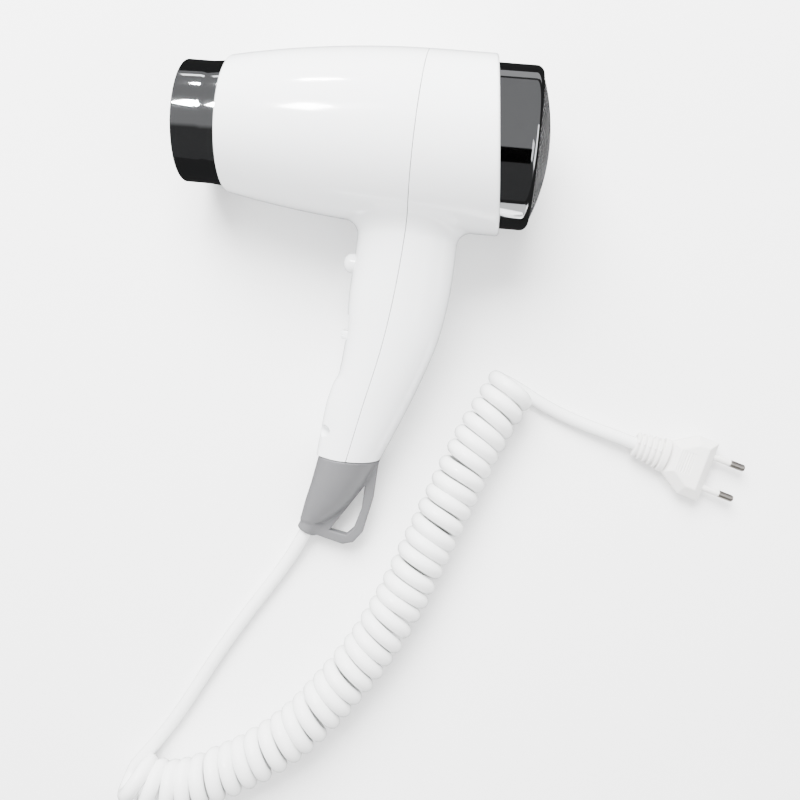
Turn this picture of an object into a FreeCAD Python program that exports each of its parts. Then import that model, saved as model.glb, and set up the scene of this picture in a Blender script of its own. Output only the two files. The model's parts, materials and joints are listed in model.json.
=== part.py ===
"""Hand-held hair dryer with a curly mains cord, lying on its side on a flat surface.

The dryer is drawn upright in its own design frame: X runs along the barrel from the nozzle (-X) to the
air inlet (+X), Z runs up and the handle hangs towards -Z. One placement, LYING, then tips every piece
of the dryer onto its side, so that it rests on the barrel and on the end of the handle.
The cord and the plug are drawn where they lie, in the finished frame.
"""
import FreeCAD, Part
import math
import os

import Sketcher
from FreeCAD import Placement, Rotation, Vector

X_AXIS = Vector(1, 0, 0)
Y_AXIS = Vector(0, 1, 0)
Z_AXIS = Vector(0, 0, 1)

# ---------------------------------------------------------------- driving dimensions, mm and degrees
DIMENSIONS = [
    # the way the dryer lies
    ("lie_pitch", 4, "nozzle end lower than the inlet end"),
    ("lie_roll", 9.6, "handle end drooping to the surface"),
    ("origin_x", 24.53, "design origin from the finished frame's origin, along the barrel"),
    ("origin_y", 88.28, "the same, up the handle"),
    ("lie_lift", 46.87, "height of the design origin over the surface"),
    # barrel
    ("barrel_radius", 46.2, "widest radius of the housing"),
    ("crown_radius", 561, "radius of the barrel's long taper in side view"),
    ("crown_end", 8, "where the taper meets the cylinder"),
    ("shoulder_x", -94.5, "back of the front shoulder"),
    ("shoulder_radius", 36, "housing radius behind the shoulder"),
    ("mouth_x", -97.5, "front edge of the housing"),
    ("mouth_radius", 33.8, "housing radius at its front edge"),
    ("rear_x", 46.7, "rear face of the housing, at the axis"),
    ("rear_slant", 5.8, "rear face off square"),
    ("rear_fillet", 2, "rounding of the rear face"),
    ("wall", 2.5, "housing wall"),
    ("seam_gap", 0.25, "gap between the two housing halves"),
    ("neck_fillet", 7, "rounding between barrel and handle"),
    # nozzle
    ("nozzle_front", -120.5, "front of the nozzle ring"),
    ("nozzle_back", -90.5, "back of the nozzle ring, inside the housing"),
    ("nozzle_land", -106, "back of the nozzle ring's straight front"),
    ("nozzle_radius_front", 31.8, "outer radius of the straight front"),
    ("nozzle_radius_back", 32.7, "outer radius at the housing"),
    ("nozzle_wall", 1.6, "wall of the nozzle ring"),
    ("grille_x", -104, "front of the outlet grille"),
    ("grille_depth", 3, "depth of the outlet grille"),
    ("grille_radius", 30.1, "outer radius of the outlet grille"),
    ("grille_bar", 1.6, "width of the grille's rings and spokes"),
    # inlet
    ("cap_front", 38, "front of the inlet cap, inside the housing"),
    ("cap_radius", 42, "outer radius of the inlet cap"),
    ("cap_wall", 1.8, "wall of the inlet cap"),
    ("cap_shoulder", 61.5, "where the inlet cap starts to round over"),
    ("cap_rear", 66, "rear edge of the inlet cap"),
    ("mesh_radius", 37.3, "edge radius of the inlet mesh"),
    ("mesh_opening", 37.5, "opening in the inlet cap"),
    ("mesh_apex", 73.3, "rearmost point of the mesh dome"),
    ("mesh_dome", 101, "sphere radius of the mesh dome"),
    ("mesh_sheet", 0.7, "thickness of the mesh"),
    ("filter_x", 44, "front of the lint filter"),
    ("filter_depth", 2, "thickness of the lint filter"),
    ("filter_radius", 40, "radius of the lint filter"),
    # fan and motor
    ("duct_front", -4, "front of the fan duct"),
    ("duct_length", 38, "length of the fan duct"),
    ("duct_radius", 43.1, "outer radius of the fan duct"),
    ("duct_wall", 1.8, "wall of the fan duct"),
    ("vane_depth", 15, "depth of the duct's vanes along the barrel"),
    ("vane_thick", 1.5, "thickness of a vane"),
    ("can_radius", 14.9, "outer radius of the motor can"),
    ("can_wall", 1.4, "wall of the motor can"),
    ("can_front", -24, "front of the motor can"),
    ("can_length", 30, "length of the motor can"),
    ("bell_depth", 2.5, "thickness of the motor's end bell"),
    ("hub_wall", 2, "wall of the ring that holds the motor"),
    ("shaft_radius", 1.15, "motor shaft"),
    ("shaft_clear", 0.06, "radial running clearance of the shaft"),
    ("shaft_front", -26, "front end of the shaft"),
    ("shaft_length", 53, "length of the shaft"),
    ("rotor_radius", 10.4, "radius of the rotor core"),
    ("rotor_front", -18, "front of the rotor core"),
    ("rotor_length", 19, "length of the rotor core"),
    ("fan_front", 15.5, "front of the fan"),
    ("fan_depth", 13, "depth of the fan hub"),
    ("fan_hub_radius", 11, "radius of the fan hub"),
    ("fan_radius", 37.5, "tip radius of the blades"),
    ("blade_thick", 1.3, "thickness of a blade"),
    ("blade_sweep", 9, "how far a blade leans over its depth"),
    # heater
    ("heater_front", -96, "front of the heater boards"),
    ("heater_length", 66, "length of the heater boards"),
    ("heater_half", 25, "half width of a heater board"),
    ("board_thick", 0.8, "thickness of a mica board"),
    ("coil_radius", 26.6, "radius of a turn of heater wire"),
    ("coil_wire", 1.2, "radius of the coiled heater wire"),
    ("coil_pitch", 10, "spacing of the heater turns"),
    ("sleeve_radius", 29.3, "outer radius of the mica sleeve"),
    ("sleeve_wall", 0.8, "wall of the mica sleeve"),
    # button and switches in the handle
    ("button_z", -67.5, "height of the push button"),
    ("button_tip", -30.4, "outermost point of the push button"),
    ("button_radius", 5.3, "radius of the push button"),
    ("button_clear", 0.3, "gap round the push button"),
    ("flange_x", -20, "front of the button's flange"),
    ("flange_radius", 6.6, "radius of the button's flange"),
    ("flange_depth", 1.2, "thickness of the button's flange"),
    ("stem_radius", 2.2, "radius of the button's stem"),
    ("stem_end", -14.7, "inner end of the button's stem"),
    ("spring_radius", 3.7, "mean radius of the button spring"),
    ("spring_wire", 0.35, "wire radius of the button spring"),
    ("micro_x", -12, "front of the microswitch"),
    ("plunger_radius", 1.2, "radius of the microswitch plunger"),
    ("plunger_tip", -14.4, "outer end of the plunger"),
    ("plunger_length", 6.2, "length of the plunger"),
    ("knob_z", -106.4, "height of the slide switch knob when off"),
    ("knob_out", -28.3, "outermost point of the knob"),
    ("knob_high", 4.6, "size of the knob along the handle"),
    ("knob_wide", 7, "size of the knob across the handle"),
    ("slot_bottom", -109.4, "lower end of the switch recess"),
    ("slot_top", -95.2, "upper end of the switch recess"),
    ("slot_floor", -24.3, "floor of the switch recess"),
    ("slot_margin", 3.1, "room beside the knob in the switch recess"),
    # end cap
    ("handle_end", -174.4, "lower face of the housing"),
    ("cap_gap", 0.4, "gap between the housing and the end cap"),
    ("exit_x", -39.5, "centre of the cord exit, along the barrel"),
    ("exit_z", -220.3, "centre of the cord exit, height"),
    ("exit_lean", 23.2, "lean of the cord exit towards the nozzle"),
    ("exit_radius", 5.8, "outer radius of the cord exit"),
    ("loop_thick", 6, "thickness of the hanging loop"),
    # cord and plug
    ("cord_radius", 3.75, "radius of the mains cord"),
    ("cord_clear", 0.15, "gap round the cord in its exit"),
    ("curl_radius", 15, "outer radius of the curly stretch"),
    ("plug_length", 25.5, "length of the plug body, front face to collar"),
    ("plug_wide", 35.3, "width of the plug body"),
    ("plug_thick", 13.7, "thickness of the plug body"),
    ("plug_bevel", 5.2, "bevel along the plug's long edges"),
    ("plug_front_x", 212.7, "middle of the plug's front face, along the barrel"),
    ("plug_front_y", -72.5, "the same, up the handle"),
    ("plug_angle", -15.3, "direction in which the plug points"),
    ("boot_length", 19.6, "length of the plug's strain relief"),
    ("pin_pitch", 18.6, "distance between the pins at their root"),
    ("pin_radius", 2, "radius of a pin"),
    ("pin_length", 19, "length of a pin"),
    ("sleeve_length", 10, "length of a pin's insulating sleeve"),
]


class Dim:
    """A length that knows its value and the spreadsheet expression it came from."""

    def __init__(self, value, text):
        self.value = value
        self.text = text

    def combine(self, other, sign, value):
        text = other.text if isinstance(other, Dim) else repr(other)
        return Dim(value, f"({self.text} {sign} {text})")

    def __add__(self, other):
        return self.combine(other, "+", self.value + number(other))

    def __sub__(self, other):
        return self.combine(other, "-", self.value - number(other))

    def __mul__(self, other):
        return self.combine(other, "*", self.value * number(other))

    def __truediv__(self, other):
        return self.combine(other, "/", self.value / number(other))

    def __neg__(self):
        return Dim(-self.value, f"(0 - {self.text})")


def number(length):
    """The value of a Dim or of a plain number."""
    return length.value if isinstance(length, Dim) else float(length)


class Sizes:
    """The spreadsheet's cells as attributes: d.wall is the Dim of the alias wall."""

    def __init__(self, sheet, rows):
        for row, (alias, value, note) in enumerate(rows, start=1):
            sheet.set(f"A{row}", note)
            sheet.set(f"B{row}", str(value))
            sheet.setAlias(f"B{row}", alias)
            setattr(self, alias, Dim(float(value), f"{sheet.Name}.{alias}"))


doc = FreeCAD.newDocument("hair_dryer")
dimension_sheet = doc.addObject("Spreadsheet::Sheet", "Dimensions")
d = Sizes(dimension_sheet, DIMENSIONS)
doc.recompute()

TIP = Rotation(X_AXIS, -90)
ROLL = Rotation(X_AXIS, d.lie_roll.value)
PITCH = Rotation(Y_AXIS, -d.lie_pitch.value)
LYING = Placement(
    Vector(d.origin_x.value, d.origin_y.value, d.lie_lift.value),
    PITCH.multiply(ROLL).multiply(TIP),
)

WIDE_ARC = 5
dryer_parts = []
cord_parts = []


# ---------------------------------------------------------------- helpers
def bind(obj, prop, length):
    """Sets a size and binds it to the spreadsheet."""
    if isinstance(length, Dim):
        obj.setExpression(prop, length.text)
    else:
        setattr(obj, prop, length)


def dryer_part(obj, label):
    obj.Label = label
    dryer_parts.append(obj)
    return obj


def cord_part(obj, label):
    obj.Label = label
    cord_parts.append(obj)
    return obj


def at(x, y, z, rotation=None):
    """A placement in the design frame."""
    return Placement(Vector(number(x), number(y), number(z)), rotation or Rotation())


def box(x0, y0, z0, length, width, height):
    """A block with its low corner at x0, y0, z0."""
    block = doc.addObject("Part::Box", "Block")
    bind(block, "Length", length)
    bind(block, "Width", width)
    bind(block, "Height", height)
    block.Placement = at(x0, y0, z0)
    return block


def rod(radius, x0, length, y=0, z=0):
    """A round bar along the barrel, starting at x0."""
    bar = doc.addObject("Part::Cylinder", "Rod")
    bind(bar, "Radius", radius)
    bind(bar, "Height", length)
    bar.Placement = at(x0, y, z, Rotation(Y_AXIS, 90))
    return bar


def cut(base, tool):
    result = doc.addObject("Part::Cut", "Cut")
    result.Base = base
    result.Tool = tool
    return result


def fuse(*pieces):
    result = doc.addObject("Part::MultiFuse", "Fusion")
    result.Shapes = list(pieces)
    result.Refine = True
    return result


def group(*pieces):
    """Separate solids that share one node."""
    result = doc.addObject("Part::Compound", "Group")
    result.Links = list(pieces)
    return result


def tube(outer, wall, x0, length):
    """A hollow cylinder along the barrel."""
    hole = rod(outer - wall, number(x0) - 1, length + 2)
    return cut(rod(outer, x0, length), hole)


def new_body(name):
    return doc.addObject("PartDesign::Body", name)


def origin_plane(body, role):
    return next(f for f in body.Origin.OriginFeatures if f.Role == role)


def sketch_on(body, role, offset=None):
    """A sketch on one of the body's origin planes, moved along the plane's normal by offset."""
    sketch = body.newObject("Sketcher::SketchObject", "Sketch")
    sketch.AttachmentSupport = [(origin_plane(body, role), "")]
    sketch.MapMode = "FlatFace"
    if offset is not None:
        sketch.AttachmentOffset = Placement(Vector(0, 0, number(offset)), Rotation())
        if isinstance(offset, Dim):
            bind(sketch, "AttachmentOffset.Base.z", offset)
    return sketch


def fix_point(sketch, index, end, x, y):
    """Ties one end of a sketch line to the coordinates x and y."""
    for kind, length, axis in (("DistanceX", x, -2), ("DistanceY", y, -1)):
        if number(length) == 0:
            sketch.addConstraint(Sketcher.Constraint("PointOnObject", index, end, axis))
            continue
        value = number(length)
        tie = sketch.addConstraint(Sketcher.Constraint(kind, -1, 1, index, end, value))
        if isinstance(length, Dim):
            sketch.setExpression(f"Constraints[{tie}]", length.text)


def arc_between(start, end, radius):
    """The short arc from start to end. A positive radius bulges to the left of the way from start to end."""
    chord = end - start
    left = Vector(-chord.y, chord.x, 0).normalize()
    depth = math.sqrt(radius * radius - chord.Length**2 / 4)
    centre = (start + end) * 0.5 - left * math.copysign(depth, radius)
    first, last = (end, start) if radius > 0 else (start, end)
    first_angle = math.atan2(first.y - centre.y, first.x - centre.x)
    last_angle = math.atan2(last.y - centre.y, last.x - centre.x)
    if last_angle < first_angle:
        last_angle += 2 * math.pi
    return Part.ArcOfCircle(Part.Circle(centre, Z_AXIS, abs(radius)), first_angle, last_angle)


def outline(sketch, corners, arcs=None):
    """A closed outline through the corners. arcs gives the radius of each side that isn't straight.
    A wide arc is drawn as a spline, because its whole circle would cross the axis of a revolution."""
    arcs = arcs or {}
    spots = [Vector(number(x), number(y), 0) for x, y in corners]
    count = len(spots)
    for index, start in enumerate(spots):
        end = spots[(index + 1) % count]
        if index in arcs:
            arc = arc_between(start, end, number(arcs[index]))
            wide = abs(number(arcs[index])) > WIDE_ARC
            sketch.addGeometry(arc.toShape().toNurbs().Edges[0].Curve if wide else arc, False)
        else:
            sketch.addGeometry(Part.LineSegment(start, end), False)
    starts = {}
    for index, spot in enumerate(spots):
        side = sketch.Geometry[index]
        forward = side.StartPoint.distanceToPoint(spot) < 1e-6
        starts[index] = 1 if forward else 2
    for index, (x, y) in enumerate(corners):
        before = (index - 1) % count
        far_end = 3 - starts[before]
        sketch.addConstraint(
            Sketcher.Constraint("Coincident", before, far_end, index, starts[index])
        )
        fix_point(sketch, index, starts[index], x, y)
    for index, radius in arcs.items():
        size = abs(number(radius))
        if size > WIDE_ARC:
            continue
        tie = sketch.addConstraint(Sketcher.Constraint("Radius", index, size))
        if isinstance(radius, Dim):
            bound = radius if radius.value > 0 else -radius
            sketch.setExpression(f"Constraints[{tie}]", bound.text)


def circle(sketch, radius, x=0, y=0):
    centre = Vector(number(x), number(y), 0)
    index = sketch.addGeometry(Part.Circle(centre, Z_AXIS, number(radius)), False)
    tie = sketch.addConstraint(Sketcher.Constraint("Radius", index, number(radius)))
    if isinstance(radius, Dim):
        sketch.setExpression(f"Constraints[{tie}]", radius.text)
    fix_point(sketch, index, 3, x, y)


def ellipse(sketch, x, half_long, half_wide):
    """An ellipse centred at x on the sketch's first axis. Part.Ellipse takes the larger half size first."""
    centre = Vector(x, 0, 0)
    if half_long >= half_wide:
        shape = Part.Ellipse(centre + Vector(half_long, 0, 0), centre + Vector(0, half_wide, 0), centre)
    else:
        shape = Part.Ellipse(centre + Vector(0, half_wide, 0), centre - Vector(half_long, 0, 0), centre)
    sketch.addGeometry(shape, False)


def pad(body, sketch, length, middle=False, backwards=False):
    feature = body.newObject("PartDesign::Pad", "Pad")
    feature.Profile = sketch
    bind(feature, "Length", length)
    feature.Midplane = middle
    feature.Reversed = backwards
    return feature


def pocket(body, sketch, length, middle=False, backwards=False):
    feature = body.newObject("PartDesign::Pocket", "Pocket")
    feature.Profile = sketch
    bind(feature, "Length", length)
    feature.Midplane = middle
    feature.Reversed = backwards
    return feature


def revolve(body, sketch, kind="Revolution"):
    """Turns the sketch about the barrel's axis. kind Groove cuts instead."""
    feature = body.newObject(f"PartDesign::{kind}", kind)
    feature.Profile = sketch
    feature.ReferenceAxis = (origin_plane(body, "X_Axis"), [""])
    feature.Angle = 360
    return feature


def loft(body, sections, kind="AdditiveLoft"):
    feature = body.newObject(f"PartDesign::{kind}", kind)
    feature.Profile = sections[0]
    feature.Sections = sections[1:]
    feature.Ruled = False
    return feature


def polar(body, feature, count):
    """Repeats a feature round the barrel's axis."""
    pattern = body.newObject("PartDesign::PolarPattern", "PolarPattern")
    pattern.Originals = [feature]
    pattern.Axis = (origin_plane(body, "X_Axis"), [""])
    pattern.Angle = 360
    pattern.Occurrences = count
    body.Tip = pattern
    return pattern


def must_shrink(name, before, after):
    """Stops the build when a cut removed nothing."""
    if not after < before - 1e-3:
        raise RuntimeError(f"{name}: the cut removed nothing")


# ---------------------------------------------------------------- housing halves
# height, centre along the barrel, half depth, half width and wall of the handle's sections;
# the wall is thicker at the lower end, where the screws sit
HANDLE_SECTIONS = [
    (-30, 2.8, 27.0, 20.6, 2.5),
    (-60, 2.8, 27.0, 20.6, 2.5),
    (-82, 1.4, 27.2, 20.3, 2.5),
    (-108, -0.9, 25.0, 19.5, 2.5),
    (-127, -5.0, 23.0, 18.6, 2.8),
    (-146, -10.8, 21.7, 17.6, 4.0),
    (-160, -14.5, 19.6, 17.0, 5.0),
    (d.handle_end.value, -18.3, 17.3, 16.4, 4.5),
]
# the parting line of the two halves in side view: along the barrel, height
SEAM = [
    (6.8, 50),
    (5.2, 0),
    (3.4, -45),
    (0.6, -78),
    (-4.2, -110),
    (-11.7, -143),
    (-19.2, -178),
]
SCREW_Z = -160
SCREW_Y = 8
CLAMP_Z = -140
CLAMP_Y = 8
WIRE_RADIUS = 0.9


def seam_outline(sketch, front):
    """Everything on one side of the parting line, as a closed outline in side view."""
    far = 90 if front else -140
    shift = (1 if front else -1) * d.seam_gap.value / 2
    curve = Part.BSplineCurve()
    curve.interpolate([Vector(x - shift, z, 0) for x, z in SEAM])
    top = curve.StartPoint
    bottom = curve.EndPoint
    top_out = Vector(far, top.y, 0)
    bottom_out = Vector(far, bottom.y, 0)
    sketch.addGeometry(curve, False)
    sketch.addGeometry(Part.LineSegment(bottom, bottom_out), False)
    sketch.addGeometry(Part.LineSegment(bottom_out, top_out), False)
    sketch.addGeometry(Part.LineSegment(top_out, top), False)


def handle_sketches(body, hollow):
    """The handle's sections, outside or, for the hollow, inside the wall."""
    sketches = []
    for z, x, half_deep, half_wide, wall in HANDLE_SECTIONS:
        inset = wall if hollow else 0
        sketch = sketch_on(body, "XY_Plane", z)
        ellipse(sketch, x, half_deep - inset, half_wide - inset)
        sketches.append(sketch)
    return sketches


def housing_half(name, front):
    """One half of the housing: barrel and handle, hollowed, with the far side of the parting line removed."""
    body = new_body(name)
    profile = sketch_on(body, "XZ_Plane")
    rear_limit = 56
    outline(
        profile,
        [
            (d.mouth_x, 0),
            (d.mouth_x, d.mouth_radius),
            (d.shoulder_x, d.shoulder_radius),
            (d.crown_end, d.barrel_radius),
            (rear_limit, d.barrel_radius),
            (rear_limit, 0),
        ],
        {1: d.shoulder_x - d.mouth_x, 2: d.crown_radius},
    )
    revolve(body, profile)
    loft(body, handle_sketches(body, False))
    doc.recompute()

    slant = sketch_on(body, "XZ_Plane")
    lean = math.tan(math.radians(d.rear_slant.value))
    reach = 60
    outline(
        slant,
        [
            (d.rear_x.value - reach * lean, reach),
            (d.rear_x.value + reach * lean, -reach),
            (80, -reach),
            (80, reach),
        ],
    )
    rear_cut = pocket(body, slant, 120, middle=True)
    doc.recompute()

    neck = junction_edges(rear_cut.Shape)
    fillet = body.newObject("PartDesign::Fillet", "NeckFillet")
    fillet.Base = (rear_cut, neck)
    bind(fillet, "Radius", d.neck_fillet)
    doc.recompute()

    rear = rear_edges(fillet.Shape)
    rounding = body.newObject("PartDesign::Fillet", "RearFillet")
    rounding.Base = (fillet, rear)
    bind(rounding, "Radius", d.rear_fillet)
    doc.recompute()

    solid_volume = body.Shape.Volume
    bore = sketch_on(body, "XZ_Plane")
    inner = d.barrel_radius - d.wall
    seat = d.cap_radius + 0.25
    outline(
        bore,
        [
            (d.mouth_x - 2, 0),
            (d.mouth_x - 2, d.nozzle_radius_back + 0.15),
            (d.mouth_x + d.wall, d.nozzle_radius_back + 0.15),
            (d.shoulder_x + d.wall, d.shoulder_radius - d.wall),
            (d.crown_end, inner),
            (d.cap_front - 1, inner),
            (d.cap_front - 1, seat),
            (rear_limit, seat),
            (rear_limit, 0),
        ],
        {3: d.crown_radius - d.wall},
    )
    revolve(body, bore, "Groove")
    loft(body, handle_sketches(body, True), "SubtractiveLoft")
    doc.recompute()
    must_shrink(name, solid_volume, body.Shape.Volume)

    screw_posts(body, front)
    if front:
        switch_openings(body)
    trim = sketch_on(body, "XZ_Plane")
    seam_outline(trim, front)
    whole_volume = body.Shape.Volume
    halving = pocket(body, trim, 140, middle=True)
    halving.Refine = False
    doc.recompute()
    must_shrink(name, whole_volume, body.Shape.Volume)
    return dryer_part(body, name)


def junction_edges(shape):
    """The edges where the handle leaves the barrel."""
    found = []
    for index, edge in enumerate(shape.Edges, start=1):
        centre = edge.CenterOfMass
        box_of_edge = edge.BoundBox
        low = -52 < centre.z < -25
        if low and box_of_edge.XMin > -40 and box_of_edge.XMax < 40 and box_of_edge.YLength > 5:
            found.append(f"Edge{index}")
    return found


def rear_edges(shape):
    """The outer edge of the slanted rear face."""
    found = []
    for index, edge in enumerate(shape.Edges, start=1):
        if edge.BoundBox.XMin > 38 and edge.BoundBox.ZLength > 60:
            found.append(f"Edge{index}")
    return found


def posts(body, start, length, radius, hole, hole_depth, y, z):
    """A pair of round posts along the barrel's direction, each with a hole from its seam end."""
    solid = sketch_on(body, "YZ_Plane", start)
    bore = sketch_on(body, "YZ_Plane", start - 0.5)
    for side in (-1, 1):
        circle(solid, radius, side * y, z)
        circle(bore, hole, side * y, z)
    pad(body, solid, length)
    pocket(body, bore, hole_depth + 0.5, backwards=True)


def screw_posts(body, front):
    """Posts for the housing screws, a recess in front for each screw head, and behind the clamp's posts."""
    if not front:
        posts(body, start=-14.8, length=11.8, radius=3.6, hole=1.65, hole_depth=8, y=SCREW_Y, z=SCREW_Z)
        posts(body, start=-10.6, length=16.6, radius=3.2, hole=1.3, hole_depth=9, y=CLAMP_Y, z=CLAMP_Z)
        return
    posts(body, start=-28.9, length=13.3, radius=3.6, hole=1.65, hole_depth=14, y=SCREW_Y, z=SCREW_Z)
    recess = sketch_on(body, "YZ_Plane", -40)
    for side in (-1, 1):
        circle(recess, 3.1, side * SCREW_Y, SCREW_Z)
    pocket(body, recess, 15.4, backwards=True)


def switch_openings(body):
    """The button's hole, and the recess and slot of the slide switch."""
    hole = sketch_on(body, "YZ_Plane", -40)
    circle(hole, d.button_radius + d.button_clear, 0, d.button_z)
    pocket(body, hole, 24, backwards=True)
    recess = sketch_on(body, "YZ_Plane", -40)
    half = d.knob_wide / 2 + d.slot_margin
    outline(
        recess,
        [(-half, d.slot_bottom), (half, d.slot_bottom), (half, d.slot_top), (-half, d.slot_top)],
    )
    pocket(body, recess, d.slot_floor + 40, backwards=True)
    slot = sketch_on(body, "YZ_Plane", -40)
    narrow = 2.6
    outline(
        slot,
        [
            (-narrow, d.slot_bottom + 0.6),
            (narrow, d.slot_bottom + 0.6),
            (narrow, d.slot_top - 0.6),
            (-narrow, d.slot_top - 0.6),
        ],
    )
    pocket(body, slot, 21, backwards=True)


def ring_profile(name, corners, arcs=None):
    """A body turned about the barrel's axis from a side-view outline."""
    body = new_body(name)
    profile = sketch_on(body, "XZ_Plane")
    outline(profile, corners, arcs)
    revolve(body, profile)
    return dryer_part(body, name)


# ---------------------------------------------------------------- nozzle end
def nozzle_ring():
    """The polished ring pushed into the mouth of the housing."""
    ring_profile(
        "nozzle_ring",
        [
            (d.nozzle_front, d.nozzle_radius_front - d.nozzle_wall),
            (d.nozzle_front, d.nozzle_radius_front),
            (d.nozzle_land, d.nozzle_radius_front),
            (d.mouth_x, d.nozzle_radius_back),
            (d.nozzle_back, d.nozzle_radius_back),
            (d.nozzle_back, d.nozzle_radius_back - d.nozzle_wall),
            (d.mouth_x, d.nozzle_radius_back - d.nozzle_wall),
            (d.nozzle_land, d.nozzle_radius_front - d.nozzle_wall),
        ],
    )


def outlet_grille():
    """Three rings joined by eight spokes across the air outlet."""
    body = new_body("outlet_grille")
    rings = sketch_on(body, "YZ_Plane", d.grille_x)
    outer = d.grille_radius
    for radius in (outer, outer * 0.62, outer * 0.28):
        circle(rings, radius)
        circle(rings, radius - d.grille_bar)
    pad(body, rings, d.grille_depth)
    spoke = sketch_on(body, "YZ_Plane", d.grille_x)
    half = d.grille_bar / 2
    inner_end = outer * 0.28 - d.grille_bar / 2
    outer_end = outer - d.grille_bar / 2
    outline(spoke, [(-half, inner_end), (half, inner_end), (half, outer_end), (-half, outer_end)])
    arm = pad(body, spoke, d.grille_depth)
    doc.recompute()
    polar(body, arm, 8)
    dryer_part(body, "outlet_grille")


# ---------------------------------------------------------------- inlet end
def inlet_cap():
    """The polished band and rounded rim round the air inlet."""
    ring_profile(
        "inlet_cap",
        [
            (d.cap_front, d.cap_radius - d.cap_wall),
            (d.cap_front, d.cap_radius),
            (d.cap_shoulder, d.cap_radius),
            (d.cap_rear, d.mesh_opening),
            (d.cap_rear - 2.5, d.mesh_opening),
            (d.cap_shoulder, d.cap_radius - d.cap_wall),
        ],
        {2: 4.6},
    )


def inlet_mesh():
    """The domed metal mesh over the air inlet, with a short flange that sits in the rim."""
    flange = 3.5
    centre = d.mesh_apex - d.mesh_dome
    reach = math.sqrt(d.mesh_dome.value**2 - d.mesh_radius.value**2)
    edge_x = centre.value + reach
    inner_dome = d.mesh_dome - d.mesh_sheet
    inner_radius = d.mesh_radius - d.mesh_sheet
    inner_x = centre.value + math.sqrt(inner_dome.value**2 - inner_radius.value**2)
    body = new_body("inlet_mesh")
    profile = sketch_on(body, "XZ_Plane")
    outline(
        profile,
        [
            (edge_x - flange, inner_radius),
            (edge_x - flange, d.mesh_radius),
            (edge_x, d.mesh_radius),
            (d.mesh_apex, 0),
            (d.mesh_apex - d.mesh_sheet, 0),
            (inner_x, inner_radius),
        ],
        {2: d.mesh_dome, 4: -inner_dome},
    )
    revolve(body, profile)
    dryer_part(body, "inlet_mesh")


def lint_filter():
    """A disc of open foam that keeps lint out of the fan."""
    dryer_part(group(rod(d.filter_radius - 0.2, d.filter_x, d.filter_depth)), "lint_filter")


# ---------------------------------------------------------------- fan and motor
def fan_duct():
    """The ring round the fan, with vanes that carry the motor in a hub ring."""
    body = new_body("fan_duct")
    rim = sketch_on(body, "YZ_Plane", d.duct_front)
    circle(rim, d.duct_radius)
    circle(rim, d.duct_radius - d.duct_wall)
    pad(body, rim, d.duct_length)
    hub_inner = d.can_radius + 0.1
    hub_outer = hub_inner + d.hub_wall
    hub = sketch_on(body, "YZ_Plane", d.duct_front)
    circle(hub, hub_outer)
    circle(hub, hub_inner)
    pad(body, hub, d.vane_depth - 5)
    vane = sketch_on(body, "YZ_Plane", d.duct_front)
    half = d.vane_thick / 2
    root = hub_outer - d.hub_wall / 2
    tip = d.duct_radius - d.duct_wall / 2
    outline(vane, [(-half, root), (half, root), (half, tip), (-half, tip)])
    blade = pad(body, vane, d.vane_depth)
    doc.recompute()
    polar(body, blade, 7)
    dryer_part(body, "fan_duct")


def motor():
    """The motor: can, end bell, rotor core and shaft."""
    bush = d.shaft_radius + d.shaft_clear
    can_rear = d.can_front + d.can_length
    shell = tube(d.can_radius, d.can_wall, d.can_front, d.can_length)
    face = cut(rod(d.can_radius - 0.5, d.can_front, d.can_wall), rod(bush, d.can_front - 1, d.can_wall + 2))
    dryer_part(fuse(shell, face), "motor_can")
    bell = cut(rod(d.can_radius, can_rear, d.bell_depth), rod(bush, can_rear - 1, d.bell_depth + 2))
    dryer_part(bell, "motor_end_bell")
    core = rod(d.rotor_radius, d.rotor_front, d.rotor_length)
    dryer_part(cut(core, rod(d.shaft_radius, d.rotor_front - 1, d.rotor_length + 2)), "rotor_core")
    dryer_part(group(rod(d.shaft_radius, d.shaft_front, d.shaft_length)), "motor_shaft")


def fan_impeller():
    """A seven-blade axial fan pressed on the motor shaft."""
    body = new_body("fan_impeller")
    hub = sketch_on(body, "YZ_Plane", d.fan_front)
    circle(hub, d.fan_hub_radius)
    circle(hub, d.shaft_radius)
    pad(body, hub, d.fan_depth)
    root = d.fan_hub_radius - 2
    leaning = sketch_on(body, "XY_Plane", root)
    front = d.fan_front + 0.5
    rear = d.fan_front + d.fan_depth - 0.5
    half = d.blade_thick
    lean = d.blade_sweep
    outline(
        leaning,
        [
            (front, -lean - half),
            (rear, lean - half),
            (rear, lean + half),
            (front, -lean + half),
        ],
    )
    blade = pad(body, leaning, d.fan_radius - root - 1.5)
    doc.recompute()
    polar(body, blade, 7)
    dryer_part(body, "fan_impeller")


def rectifier_diodes():
    """Four diodes standing on the motor's end bell."""
    start = d.can_front + d.can_length + d.bell_depth
    spots = ((7, 7), (-7, 7), (7, -7), (-7, -7))
    dryer_part(group(*[rod(1.4, start, 4.2, y, z) for y, z in spots]), "rectifier_diodes")


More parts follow.
